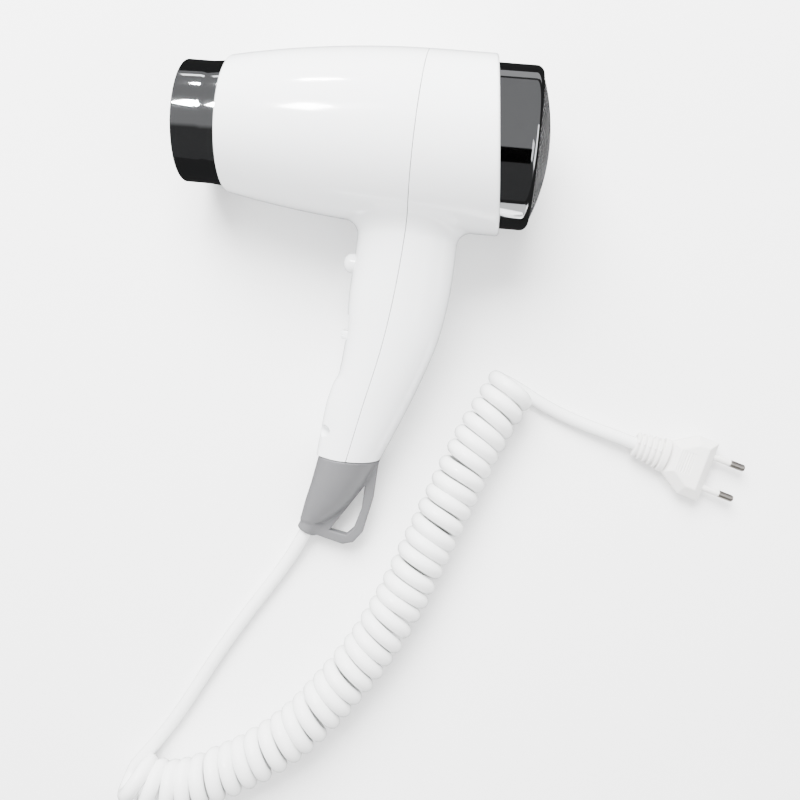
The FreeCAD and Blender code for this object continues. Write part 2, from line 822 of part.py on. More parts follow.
# ---------------------------------------------------------------- heater
def heater():
    """Two crossed mica boards wound with heater wire, inside a mica sleeve."""
    half = d.heater_half
    thick = d.board_thick
    middle = d.heater_front + d.heater_length / 2
    slot_half = thick / 2 + 0.05
    upright = box(d.heater_front, -thick / 2, -half, d.heater_length, thick, half * 2)
    upright_slot = box(d.heater_front - 1, -2, -slot_half, d.heater_length / 2 + 1.1, 4, slot_half * 2)
    dryer_part(cut(upright, upright_slot), "heater_board_upright")
    flat = box(d.heater_front, -half, -thick / 2, d.heater_length, half * 2, thick)
    flat_slot = box(middle - 0.1, -slot_half, -2, d.heater_length / 2 + 1, slot_half * 2, 4)
    dryer_part(cut(flat, flat_slot), "heater_board_flat")
    turns = []
    for index in range(6):
        turn = doc.addObject("Part::Torus", "HeaterTurn")
        bind(turn, "Radius1", d.coil_radius)
        bind(turn, "Radius2", d.coil_wire)
        turn.Placement = at(d.heater_front + 8 + d.coil_pitch * index, 0, 0, Rotation(Y_AXIS, 90))
        turns.append(turn)
    dryer_part(group(*turns), "heater_coils")
    dryer_part(tube(d.sleeve_radius, d.sleeve_wall, d.heater_front, d.heater_length + 2), "heater_sleeve")
    dryer_part(group(box(-44, d.board_thick / 2, 7, 7, 5, 9)), "thermostat")
    dryer_part(group(rod(1.6, -60, 11, -2.1, 13)), "thermal_fuse")


# ---------------------------------------------------------------- button and switches
def push_button():
    """The domed button with its flange and stem."""
    body = new_body("push_button")
    rise = 3.6
    shaft_line = 0
    profile = sketch_on(body, "XZ_Plane")
    outline(
        profile,
        [
            (d.button_tip, shaft_line),
            (d.button_tip + rise, d.button_radius),
            (d.flange_x, d.button_radius),
            (d.flange_x, d.flange_radius),
            (d.flange_x + d.flange_depth, d.flange_radius),
            (d.flange_x + d.flange_depth, d.stem_radius),
            (d.stem_end, d.stem_radius),
            (d.stem_end, shaft_line),
        ],
        {0: (d.button_radius * d.button_radius.value + rise * rise) / (2 * rise)},
    )
    revolve(body, profile)
    body.Placement = at(0, 0, d.button_z)
    dryer_part(body, "push_button")


def button_spring():
    """The coil spring between the button's flange and the microswitch."""
    gap = 0.05
    start = d.flange_x + d.flange_depth + d.spring_wire + gap
    length = d.micro_x - d.spring_wire - gap - start
    turns = 5
    helix = Part.makeHelix(length.value / turns, length.value, d.spring_radius.value)
    wire_centre = Vector(d.spring_radius.value, 0, 0)
    profile = Part.Wire(Part.Circle(wire_centre, Y_AXIS, d.spring_wire.value).toShape())
    spring = doc.addObject("Part::Feature", "ButtonSpring")
    spring.Shape = Part.Wire(helix).makePipeShell([profile], True, True)
    spring.Placement = at(start, 0, d.button_z, Rotation(Y_AXIS, 90))
    dryer_part(spring, "button_spring")


def switches():
    """The microswitch behind the button and the slide switch behind the knob, on one board."""
    bore = d.plunger_radius + 0.05
    board_x = -2
    base = box(d.micro_x, -6, d.button_z - 8.5, board_x - d.micro_x.value, 12, 17)
    dryer_part(cut(base, rod(bore, d.micro_x - 1, 8.5, 0, d.button_z)), "microswitch_body")
    plunger = rod(d.plunger_radius, d.plunger_tip, d.plunger_length, 0, d.button_z)
    dryer_part(group(plunger), "microswitch_plunger")
    slide_low = d.knob_z - 9.4
    slide_front = -19.7
    dryer_part(group(box(slide_front, -7.5, slide_low, board_x - slide_front, 15, 29)), "slide_switch_body")
    high = d.knob_high
    finger = box(d.knob_out, -d.knob_wide / 2, d.knob_z - high / 2, 3.8, d.knob_wide, high)
    neck = box(d.knob_out + 3.5, -2.2, d.knob_z - high / 2 + 0.7, 4, 4.4, high - 1.4)
    plate = box(-21.2, -5.5, d.knob_z - 7, 1.2, 11, 14)
    dryer_part(fuse(finger, neck, plate), "slide_switch_knob")
    dryer_part(group(box(board_x, -12, -117, 1.4, 24, 61)), "switch_board")
    dryer_part(group(box(board_x + 1.4, -8, -90, 9, 16, 18)), "suppression_capacitor")


# ---------------------------------------------------------------- handle end
# height, centre along the barrel, half depth and half width of the end cap's sections
CAP_SECTIONS = [
    (d.handle_end.value - d.cap_gap.value, -18.35, 17.25, 16.3),
    (-191, -23.9, 14.9, 13.4),
    (-205, -30.0, 12.0, 9.6),
    (-214, -36.0, 7.6, 6.4),
]
# side view of the hanging loop and of the hole through it: along the barrel, height
LOOP_OUTLINE = [
    (-1.8, -175),
    (-3.0, -197),
    (-7.2, -217),
    (-12.0, -223.6),
    (-18, -225.4),
    (-34, -221.6),
    (-38, -214),
    (-16, -178),
]
LOOP_HOLE = [(-8.2, -190), (-8.9, -203), (-12.6, -215.5), (-16.5, -219.6), (-26.2, -218)]
END_CAP_WALL = 2.2


def tilted_rod(radius, start, length):
    """A round bar along the cord's way out of the handle."""
    bar = doc.addObject("Part::Cylinder", "TiltedRod")
    bind(bar, "Radius", radius)
    bind(bar, "Height", length)
    lean = math.radians(d.exit_lean.value)
    way = Vector(math.sin(lean), 0, math.cos(lean))
    mouth = Vector(d.exit_x.value, 0, d.exit_z.value)
    bar.Placement = Placement(mouth + way * start, Rotation(Z_AXIS, way))
    return bar


def end_cap():
    """The grey cap on the handle's end: a tapering shell that ends in the cord exit, with a hanging loop."""
    body = new_body("EndCapBody")
    sections = []
    for z, x, half_deep, half_wide in CAP_SECTIONS:
        sketch = sketch_on(body, "XY_Plane", z)
        ellipse(sketch, x, half_deep, half_wide)
        sections.append(sketch)
    loft(body, sections)
    loop = sketch_on(body, "XZ_Plane")
    outline(loop, LOOP_OUTLINE)
    pad(body, loop, d.loop_thick, middle=True)
    opening = sketch_on(body, "XZ_Plane")
    outline(opening, LOOP_HOLE)
    doc.recompute()
    before = body.Shape.Volume
    pocket(body, opening, 30, middle=True)
    doc.recompute()
    must_shrink("hanging loop", before, body.Shape.Volume)
    hollow = []
    for z, x, half_deep, half_wide in CAP_SECTIONS[:3]:
        sketch = sketch_on(body, "XY_Plane", z)
        ellipse(sketch, x, half_deep - END_CAP_WALL, half_wide - END_CAP_WALL)
        hollow.append(sketch)
    loft(body, hollow, "SubtractiveLoft")
    doc.recompute()
    outer = fuse(body, tilted_rod(d.exit_radius, 0, 12))
    dryer_part(cut(outer, tilted_rod(d.cord_radius + d.cord_clear, -2, 40)), "end_cap")


def screws(head_radius, head_start, shank_radius, shank_length, y, z):
    """A pair of screws along the barrel's direction, heads towards the nozzle."""
    pair = []
    for side in (-1, 1):
        head = rod(head_radius, head_start, 2, side * y, z)
        shank = rod(shank_radius, head_start + 1.8, shank_length, side * y, z)
        pair.append(fuse(head, shank))
    return group(*pair)


def handle_insides():
    """The screws, the cord clamp, the end of the cord in the handle and the wires to the heater."""
    housing_pair = screws(2.8, head_start=-26.6, shank_radius=1.55, shank_length=18, y=SCREW_Y, z=SCREW_Z)
    dryer_part(housing_pair, "housing_screws")
    bar = box(-13.7, -11, CLAMP_Z - 4, 3, 22, 8)
    holes = [rod(1.3, -15, 6, side * CLAMP_Y, CLAMP_Z) for side in (-1, 1)]
    dryer_part(cut(bar, group(*holes)), "cord_clamp")
    clamp_pair = screws(2.6, head_start=-15.7, shank_radius=1.2, shank_length=10, y=CLAMP_Y, z=CLAMP_Z)
    dryer_part(clamp_pair, "clamp_screws")
    inner_route = [
        (d.exit_x.value, 0, d.exit_z.value),
        (-25.5, 0, -187.6),
        (-14.5, 0, -160),
        (-6.9, 0, CLAMP_Z),
        (-4, 0, -126),
    ]
    dryer_part(round_tube("CordEnd", inner_route, d.cord_radius.value), "cord_inner_end")
    wires = []
    for side in (-1, 1):
        wire_route = [
            (-4, side * 2, -126),
            (-4.6, side * 7, -121.5),
            (-6.5, side * 10.2, -113),
            (-8.8, side * 10.7, -97),
            (-9.6, side * 10.4, -78),
            (-11.5, side * 9.6, -59),
            (-14.5, side * 8.8, -43),
            (-19, side * 8.4, -29),
            (-24, side * 8.2, -19),
        ]
        wires.append(round_tube("Wire", wire_route, WIRE_RADIUS))
    dryer_part(group(*wires), "power_wires")


# ---------------------------------------------------------------- cord and plug, in the finished frame
# the cord from the handle to the curl, then the curl's centre line, then the cord from the curl to the plug
LEAD_ROUTE = [
    (-17.7, -141.7, 4.9),
    (-28, -159.5, 3.75),
    (-42, -181.5, 3.75),
    (-56.5, -206.5, 3.75),
    (-67.5, -228.5, 3.75),
    (-79, -250.2, 3.9),
    (-88.8, -267.4, 4.6),
]
CURL_ROUTE = [
    (-106, -269, 15),
    (-91, -279, 15),
    (-68, -280.5, 15),
    (-44.5, -268.6, 15),
    (-23, -255.5, 15),
    (-3, -238, 15),
    (15, -214.5, 15),
    (30.5, -191.5, 15),
    (44.5, -163.5, 15),
    (57.6, -127.5, 15),
    (70, -93, 15),
    (82, -60.5, 15),
    (98, -30.5, 15),
]
TAIL_ROUTE = [
    (91.5, -32, 4.6),
    (101.5, -37.2, 4.3),
    (112.5, -42.6, 4),
    (125, -48, 3.85),
    (140.5, -53, 4.4),
    (155.2, -56.8, 6.1),
]


def round_tube(name, route, radius):
    """A tube along straight runs joined by tangent arcs, each as large as its two runs allow."""
    spots = [Vector(*spot) for spot in route]
    edges = []
    start = spots[0]
    length = 0
    radii = []
    for before, corner, after in zip(spots, spots[1:], spots[2:]):
        way_in = (corner - before).normalize()
        way_out = (after - corner).normalize()
        shorter = min(corner.distanceToPoint(before), after.distanceToPoint(corner))
        reach = 0.45 * shorter
        half_turn = way_in.getAngle(way_out) / 2
        bend = reach / math.tan(half_turn)
        radii.append(round(bend, 1))
        first = corner - way_in * reach
        last = corner + way_out * reach
        inward = (way_out - way_in).normalize()
        middle = corner + inward * (bend / math.cos(half_turn) - bend)
        edges.append(Part.LineSegment(start, first).toShape())
        edges.append(Part.Arc(first, middle, last).toShape())
        length += start.distanceToPoint(first) + bend * 2 * half_turn
        start = last
    edges.append(Part.LineSegment(start, spots[-1]).toShape())
    length += start.distanceToPoint(spots[-1])
    path = Part.Wire(edges)
    ring = Part.Circle(spots[0], (spots[1] - spots[0]).normalize(), radius).toShape()
    tube_feature = doc.addObject("Part::Feature", name)
    tube_feature.Shape = path.makePipeShell([Part.Wire(ring)], True, True)
    share = tube_feature.Shape.Volume / (math.pi * radius**2 * length)
    print(name, "length", round(length, 1), "bend radii", radii, "volume share", round(share, 4))
    return tube_feature


def plug_placement(x, z=0):
    """A place on the plug's axis, x forward of its front face."""
    turn = Rotation(Z_AXIS, d.plug_angle.value)
    front = Vector(d.plug_front_x.value, d.plug_front_y.value, d.plug_thick.value / 2)
    return Placement(front + turn.multVec(Vector(x, 0, z)), turn)


def mains_cord():
    """The lead, the curly stretch as one tube of its outer diameter, and the tail to the plug."""
    exit_point = LYING.multVec(Vector(d.exit_x.value, 0, d.exit_z.value))
    lead = [tuple(exit_point)] + LEAD_ROUTE
    cord_part(round_tube("Lead", lead, d.cord_radius.value), "cord_lead")
    cord_part(round_tube("Curl", CURL_ROUTE, d.curl_radius.value), "cord_curl")
    boot_end = plug_placement(-d.plug_length.value - d.boot_length.value).Base
    cord_part(round_tube("Tail", TAIL_ROUTE + [tuple(boot_end)], d.cord_radius.value), "cord_tail")


def plug_body():
    """The flat two-pin plug: a body that widens from the collar, with bevelled long edges."""
    body = new_body("PlugBody")
    plan = sketch_on(body, "XY_Plane")
    half = d.plug_wide / 2
    collar = 9.3
    widest = -12.5
    taper = 0.3
    outline(
        plan,
        [
            (0, half - taper),
            (widest, half),
            (-d.plug_length, collar),
            (-d.plug_length, -collar),
            (widest, -half),
            (0, -half + taper),
        ],
    )
    block = pad(body, plan, d.plug_thick, middle=True)
    doc.recompute()
    long_edges = []
    for index, edge in enumerate(block.Shape.Edges, start=1):
        flat = edge.BoundBox.ZLength < 0.01
        if flat and abs(edge.CenterOfMass.y) > 5:
            long_edges.append(f"Edge{index}")
    bevel = body.newObject("PartDesign::Chamfer", "Bevel")
    bevel.Base = (block, long_edges)
    bind(bevel, "Size", d.plug_bevel)
    body.Placement = plug_placement(0)
    cord_part(body, "plug_body")


def plug_boot():
    """The plug's ribbed strain relief."""
    body = new_body("BootBody")
    collar_x = -d.plug_length.value
    flange_length = 3.8
    flange = sketch_on(body, "YZ_Plane", collar_x - flange_length)
    ellipse(flange, 0, 9.7, 6.6)
    pad(body, flange, flange_length)
    ends = []
    for x, wide, high in ((collar_x, 8.4, 5.6), (collar_x - d.boot_length.value, 6.4, 4.6)):
        sketch = sketch_on(body, "YZ_Plane", x)
        ellipse(sketch, 0, wide, high)
        ends.append(sketch)
    loft(body, ends)
    ribs = 5
    rib_width = 1.7
    spacing = 3.2
    for index in range(ribs):
        rib = sketch_on(body, "YZ_Plane", collar_x - flange_length - 2.9 - spacing * index)
        ellipse(rib, 0, 9.0 - 0.45 * index, 6.3 - 0.3 * index)
        pad(body, rib, rib_width)
    body.Placement = plug_placement(0)
    cord_part(body, "plug_boot")


def plug_pins():
    """Two round pins, each with an insulating sleeve next to the plug."""
    pins = []
    sleeves = []
    sleeve_outer = d.pin_radius - 0.25
    core = d.pin_radius - 0.5
    tip_round = 1
    for side in (-1, 1):
        y = side * d.pin_pitch.value / 2
        inner = rod(core, 0, d.sleeve_length, y)
        outer = rod(d.pin_radius, d.sleeve_length, d.pin_length - d.sleeve_length - tip_round, y)
        tip = doc.addObject("Part::Cone", "PinTip")
        bind(tip, "Radius1", d.pin_radius)
        bind(tip, "Radius2", d.pin_radius - tip_round)
        tip.Height = tip_round
        tip.Placement = at(d.pin_length - tip_round, y, 0, Rotation(Y_AXIS, 90))
        pins.append(fuse(inner, outer, tip))
        sleeves.append(cut(rod(sleeve_outer, 0, d.sleeve_length, y), rod(core, -1, d.sleeve_length + 2, y)))
    for pieces, label in ((pins, "plug_pins"), (sleeves, "pin_sleeves")):
        node = group(*pieces)
        node.Placement = plug_placement(0)
        cord_part(node, label)


housing_half("front_shell", True)
housing_half("rear_shell", False)
nozzle_ring()
outlet_grille()
inlet_cap()
inlet_mesh()
lint_filter()
fan_duct()
motor()
fan_impeller()
rectifier_diodes()
heater()
push_button()
button_spring()
switches()
end_cap()
handle_insides()
mains_cord()
plug_body()
plug_boot()
plug_pins()
doc.recompute()


# ---------------------------------------------------------------- hand out
for part in dryer_parts:
    part.Placement = LYING.multiply(part.Placement)
doc.recompute()
for item in doc.Objects:
    if "Invalid" in item.State or "Error" in item.State:
        raise RuntimeError(f"{item.Label}: {item.State} {item.getStatusString()}")
os.makedirs("parts", exist_ok=True)
for part in dryer_parts + cord_parts:
    shape = part.Shape
    if shape.isNull() or not shape.isValid():
        raise RuntimeError(f"{part.Label}: no valid shape")
    print(part.Label, len(shape.Solids), round(shape.Volume, 1))
    shape.exportStep(f"parts/{part.Label}.step")
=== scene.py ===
"""A hand-held hair dryer lying on its side, with its curly cord and flat plug."""

import json
import math

import bmesh
import bpy
import numpy as np
from mathutils import Matrix, Vector


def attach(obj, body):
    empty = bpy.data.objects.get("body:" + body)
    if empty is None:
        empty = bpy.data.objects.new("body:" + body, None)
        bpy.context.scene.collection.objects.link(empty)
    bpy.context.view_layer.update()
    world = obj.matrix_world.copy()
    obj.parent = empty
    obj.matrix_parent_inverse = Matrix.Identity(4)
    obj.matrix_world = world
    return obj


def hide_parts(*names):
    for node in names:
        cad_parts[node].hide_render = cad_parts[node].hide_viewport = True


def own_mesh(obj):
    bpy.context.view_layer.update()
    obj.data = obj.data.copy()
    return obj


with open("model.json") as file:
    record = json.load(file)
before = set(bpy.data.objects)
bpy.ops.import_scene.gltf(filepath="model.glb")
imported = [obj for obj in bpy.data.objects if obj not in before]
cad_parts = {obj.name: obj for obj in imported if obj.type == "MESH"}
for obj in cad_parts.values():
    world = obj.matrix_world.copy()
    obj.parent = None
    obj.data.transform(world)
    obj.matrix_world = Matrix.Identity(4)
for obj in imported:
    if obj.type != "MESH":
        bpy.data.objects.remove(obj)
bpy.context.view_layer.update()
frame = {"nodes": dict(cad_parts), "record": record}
record = frame["record"]
MM = 0.001

# ---------------------------------------------------------------- the dryer's own axes
# X runs along the barrel towards the inlet, Z up the handle towards the barrel, both in millimetres
joints = {joint["name"]: joint for joint in record["behaviour"]["joints"]}
BARREL_WAY = Vector(joints["fan_spin"]["axis"])
HANDLE_WAY = Vector(joints["switch_slide"]["axis"])
SIDE_WAY = HANDLE_WAY.cross(BARREL_WAY)
TURN = Matrix((BARREL_WAY, SIDE_WAY, HANDLE_WAY)).transposed()
LYING = Matrix.Translation(joints["fan_spin"]["pos_m"]) @ TURN.to_4x4() @ Matrix.Scale(MM, 4)


# ---------------------------------------------------------------- helpers for meshes
def new_object(name, data, body, slot, *nodes):
    """A painted piece in the scene that rides on a body and stands for CAD nodes."""
    piece = bpy.data.objects.new(name, data)
    bpy.context.scene.collection.objects.link(piece)
    if nodes:
        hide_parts(*nodes)
    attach(piece, body)
    piece.data.materials.clear()
    piece.data.materials.append(MATERIALS[slot])
    return piece


def mesh_from(name, points, faces, place):
    """A smooth mesh of points in millimetres, put in place by a matrix."""
    mesh = bpy.data.meshes.new(name)
    mesh.from_pydata([place @ Vector(point) for point in points], [], [list(face) for face in faces])
    mesh.polygons.foreach_set("use_smooth", [True] * len(mesh.polygons))
    mesh.update()
    return mesh


def sharp_by_angle(mesh, degrees=35):
    """Smooth shading that breaks at edges sharper than the angle."""
    shape = bmesh.new()
    shape.from_mesh(mesh)
    bmesh.ops.recalc_face_normals(shape, faces=shape.faces)
    for edge in shape.edges:
        if len(edge.link_faces) == 2:
            edge.smooth = edge.calc_face_angle(0) < math.radians(degrees)
    shape.to_mesh(mesh)
    shape.free()


def rounded(corners, steps=6):
    """An outline whose corners (x, y, radius) are rounded by arcs; radius 0 keeps a corner sharp."""
    points = []
    count = len(corners)
    for index, (x, y, radius) in enumerate(corners):
        corner = Vector((x, y))
        if radius <= 0:
            points.append(corner)
            continue
        before = (Vector(corners[index - 1][:2]) - corner).normalized()
        after = (Vector(corners[(index + 1) % count][:2]) - corner).normalized()
        half = before.angle(after) / 2
        centre = corner + (before + after).normalized() * (radius / math.sin(half))
        first = corner + before * (radius / math.tan(half)) - centre
        last = corner + after * (radius / math.tan(half)) - centre
        for step in range(steps + 1):
            share = step / steps
            way = first.lerp(last, share)
            points.append(centre + way.normalized() * radius)
    return points


def turned(name, outline, place, segments=160):
    """A closed outline of (x, radius) points turned about the X axis; points on the axis share one vertex."""
    points = []
    rings = []
    for x, radius in outline:
        if radius < 0.001:
            rings.append([len(points)] * segments)
            points.append((x, 0, 0))
            continue
        rings.append(list(range(len(points), len(points) + segments)))
        for step in range(segments):
            angle = 2 * math.pi * step / segments
            points.append((x, radius * math.cos(angle), radius * math.sin(angle)))
    faces = []
    for index, ring in enumerate(rings):
        following = rings[(index + 1) % len(rings)]
        for step in range(segments):
            after = (step + 1) % segments
            corners = [ring[step], ring[after], following[after], following[step]]
            unique = list(dict.fromkeys(corners))
            if len(unique) > 2:
                faces.append(unique)
    mesh = mesh_from(name, points, faces, place)
    sharp_by_angle(mesh)
    return mesh


# ---------------------------------------------------------------- implicit surfaces
def round_join(a, b, radius):
    """The union of two distance fields with a round fillet."""
    reach = np.hypot(np.maximum(radius - a, 0), np.maximum(radius - b, 0))
    return np.maximum(radius, np.minimum(a, b)) - reach


def round_cut(a, b, radius):
    """What two distance fields have in common, with a rounded edge."""
    reach = np.hypot(np.maximum(radius + a, 0), np.maximum(radius + b, 0))
    return np.minimum(-radius, np.maximum(a, b)) + reach


def box_field(offsets, halves, radius):
    """Distance to a box with rounded edges, from offsets to its centre and its half sizes."""
    over = [np.abs(offset) - half + radius for offset, half in zip(offsets, halves)]
    outside = np.sqrt(sum(np.maximum(part, 0) ** 2 for part in over))
    inside = np.minimum(np.maximum.reduce(np.broadcast_arrays(*over)), 0)
    return outside + inside - radius


def polygon_field(x, y, corners):
    """Signed distance to a polygon given by its corners."""
    nearest = np.full(np.broadcast(x, y).shape, 1e9)
    flips = np.ones(nearest.shape)
    for (ax, ay), (bx, by) in zip(corners, corners[1:] + corners[:1]):
        ex, ey = bx - ax, by - ay
        wx, wy = x - ax, y - ay
        share = np.clip((wx * ex + wy * ey) / (ex * ex + ey * ey), 0, 1)
        nearest = np.minimum(nearest, np.hypot(wx - ex * share, wy - ey * share))
        above, below, left = y >= ay, y < by, ex * wy > ey * wx
        crossing = (above & below & left) | (~above & ~below & ~left)
        flips = np.where(crossing, -flips, flips)
    return nearest * flips


def section_curves(sections):
    """Smooth curves through each column of the sections, as functions of the first column."""
    table = np.array(sorted(sections))
    height = table[:, 0]

    def value(column, z):
        data = table[:, column]
        slope = np.gradient(data, height)
        z = np.clip(z, height[0], height[-1])
        index = np.clip(np.searchsorted(height, z) - 1, 0, len(height) - 2)
        low, high = height[index], height[index + 1]
        span = high - low
        share = (z - low) / span
        square, cube = share**2, share**3
        start = (2 * cube - 3 * square + 1) * data[index] + (cube - 2 * square + share) * span * slope[index]
        end = (3 * square - 2 * cube) * data[index + 1] + (cube - square) * span * slope[index + 1]
        return start + end

    return value


def ellipse_field(dx, dy, half_x, half_y):
    """About the distance to an ellipse."""
    once = np.hypot(dx / half_x, dy / half_y)
    twice = np.hypot(dx / half_x**2, dy / half_y**2)
    return once * (once - 1) / np.maximum(twice, 1e-6)


def grid_lines(low, high, coarse, fine=(), fine_step=None):
    """Grid lines from low to high, closer together inside the fine intervals."""
    lines = [low]
    while lines[-1] < high - 1e-9:
        here = lines[-1]
        inside = any(start - fine_step <= here < end for start, end in fine)
        lines.append(here + (fine_step if inside else coarse))
    reach = lines[-1] - low
    return np.array(lines) * (high - low) / reach + low * (1 - (high - low) / reach)


def surface_net(field, axes, pinned=({}, {}, {})):
    """Vertices and quads of a field's zero surface on a grid, moved onto the surface.

    axes are the grid lines of three coordinates. pinned holds, for each coordinate, the cell
    layers whose vertices keep one value of it, as {layer: value}, so that the mesh ends there.
    """
    values = field(*np.meshgrid(*axes, indexing="ij"))
    inside = values < 0
    shape = tuple(len(axis) - 1 for axis in axes)
    total = np.zeros(shape, int)
    for i in (0, 1):
        for j in (0, 1):
            for k in (0, 1):
                total += inside[i : i + shape[0], j : j + shape[1], k : k + shape[2]]
    active = (total > 0) & (total < 8)
    number = np.full(shape, -1)
    cells = np.argwhere(active)
    number[active] = np.arange(len(cells))
    sums = np.zeros((len(cells), 3))
    hits = np.zeros(len(cells))
    quads = []
    for axis in range(3):
        start = [slice(None)] * 3
        end = [slice(None)] * 3
        start[axis] = slice(None, -1)
        end[axis] = slice(1, None)
        change = inside[tuple(start)] != inside[tuple(end)]
        edges = np.argwhere(change)
        first = values[tuple(start)][change]
        last = values[tuple(end)][change]
        share = first / (first - last)
        spots = np.stack([axes[a][edges[:, a]] for a in range(3)], axis=1)
        step = axes[axis][edges[:, axis] + 1] - axes[axis][edges[:, axis]]
        spots[:, axis] += share * step
        others = [a for a in range(3) if a != axis]
        around = []
        for p, q in ((0, 0), (1, 0), (1, 1), (0, 1)):
            cell = edges.copy()
            cell[:, others[0]] -= p
            cell[:, others[1]] -= q
            valid = np.all((cell >= 0) & (cell < shape), axis=1)
            ids = np.full(len(cell), -1)
            ids[valid] = number[tuple(cell[valid].T)]
            around.append(ids)
            np.add.at(sums, ids[valid], spots[valid])
            np.add.at(hits, ids[valid], 1)
        around = np.stack(around, axis=1)
        whole = np.all(around >= 0, axis=1)
        flip = inside[tuple(start)][change] == (axis != 1)
        around[flip] = around[flip][:, ::-1]
        quads.append(around[whole])
    points = sums / hits[:, None]
    free = np.ones((len(cells), 3))
    for axis in range(3):
        for layer, value in pinned[axis].items():
            here = cells[:, axis] == layer
            points[here, axis] = value
            free[here, axis] = 0
    for _ in range(6):
        value = field(*points.T)
        slope = field_slope(field, points) * free
        points -= (value / np.maximum((slope**2).sum(axis=1), 0.05))[:, None] * slope
    return points, np.concatenate(quads)


def field_slope(field, points, step=0.02):
    """The field's gradient at each point."""
    columns = []
    for axis in range(3):
        ahead, behind = points.copy(), points.copy()
        ahead[:, axis] += step
        behind[:, axis] -= step
        columns.append((field(*ahead.T) - field(*behind.T)) / (2 * step))
    return np.stack(columns, axis=1)


# ---------------------------------------------------------------- materials
def material(slot, rough=0.4, metal=0.0, colour=None, coat=0.0):
    """A new material in the given or the record's colour, with its node tree and its shader."""
    entry = next(item for item in record["materials"] if item["slot"] == slot)
    made = bpy.data.materials.new(slot)
    made.use_nodes = True
    tree = made.node_tree
    shader = tree.nodes["Principled BSDF"]
    shader.inputs["Base Color"].default_value = tuple(colour or entry["base_color"][:3]) + (1,)
    shader.inputs["Roughness"].default_value = rough
    shader.inputs["Metallic"].default_value = metal
    shader.inputs["Coat Weight"].default_value = coat
    shader.inputs["Coat Roughness"].default_value = 0.04
    return made, tree, shader


def node(tree, kind, **settings):
    """A node with its properties and input values set."""
    made = tree.nodes.new(kind)
    for key, value in settings.items():
        if key in made.inputs:
            made.inputs[key].default_value = value
        else:
            setattr(made, key, value)
    return made


def noise(tree, scale, detail=3):
    """A noise texture in the piece's own coordinates."""
    place = node(tree, "ShaderNodeTexCoord")
    made = node(tree, "ShaderNodeTexNoise", Scale=scale, Detail=detail)
    tree.links.new(place.outputs["Object"], made.inputs["Vector"])
    return made


def bump_from(tree, shader, height, strength, distance):
    """Bump on a shader from a height output."""
    bump = node(tree, "ShaderNodeBump", Strength=strength, Distance=distance)
    tree.links.new(height, bump.inputs["Height"])
    tree.links.new(bump.outputs["Normal"], shader.inputs["Normal"])


def spread(tree, value, low, high):
    """Maps a 0 to 1 output onto a range."""
    made = node(tree, "ShaderNodeMapRange")
    made.inputs["To Min"].default_value = low
    made.inputs["To Max"].default_value = high
    tree.links.new(value, made.inputs["Value"])
    return made.outputs["Result"]


def tint(tree, shader, factor, dark, light):
    """Base colour between two colours, by a factor."""
    ramp = node(tree, "ShaderNodeValToRGB")
    ramp.color_ramp.elements[0].color = tuple(dark) + (1,)
    ramp.color_ramp.elements[1].color = tuple(light) + (1,)
    tree.links.new(factor, ramp.inputs["Fac"])
    tree.links.new(ramp.outputs["Color"], shader.inputs["Base Color"])


def plastic(slot, rough, grain, wave, tone=0.03, colour=None, coat=0.0):
    """Moulded plastic: fine grain in the surface, roughness and tone that vary a little."""
    made, tree, shader = material(slot, rough, colour=colour, coat=coat)
    base = shader.inputs["Base Color"].default_value[:3]
    soft = noise(tree, wave)
    dark = [part * (1 - tone) for part in base]
    light = [part * (1 + tone / 2) for part in base]
    tint(tree, shader, soft.outputs["Fac"], dark, light)
    tree.links.new(spread(tree, soft.outputs["Fac"], rough * 0.85, rough * 1.2), shader.inputs["Roughness"])
    fine = noise(tree, grain, 4)
    bump_from(tree, shader, fine.outputs["Fac"], 0.12, 0.00006)
    return made


def metal(slot, rough, grain, colour=None):
    """Metal with a faint polish pattern."""
    tone = 0.08
    made, tree, shader = material(slot, rough, 1.0, colour)
    base = shader.inputs["Base Color"].default_value[:3]
    cloud = noise(tree, 60)
    tint(tree, shader, cloud.outputs["Fac"], [part * (1 - tone) for part in base], base)
    tree.links.new(spread(tree, cloud.outputs["Fac"], rough * 0.7, rough * 1.4), shader.inputs["Roughness"])
    fine = noise(tree, grain, 4)
    bump_from(tree, shader, fine.outputs["Fac"], 0.05, 0.00003)
    return made


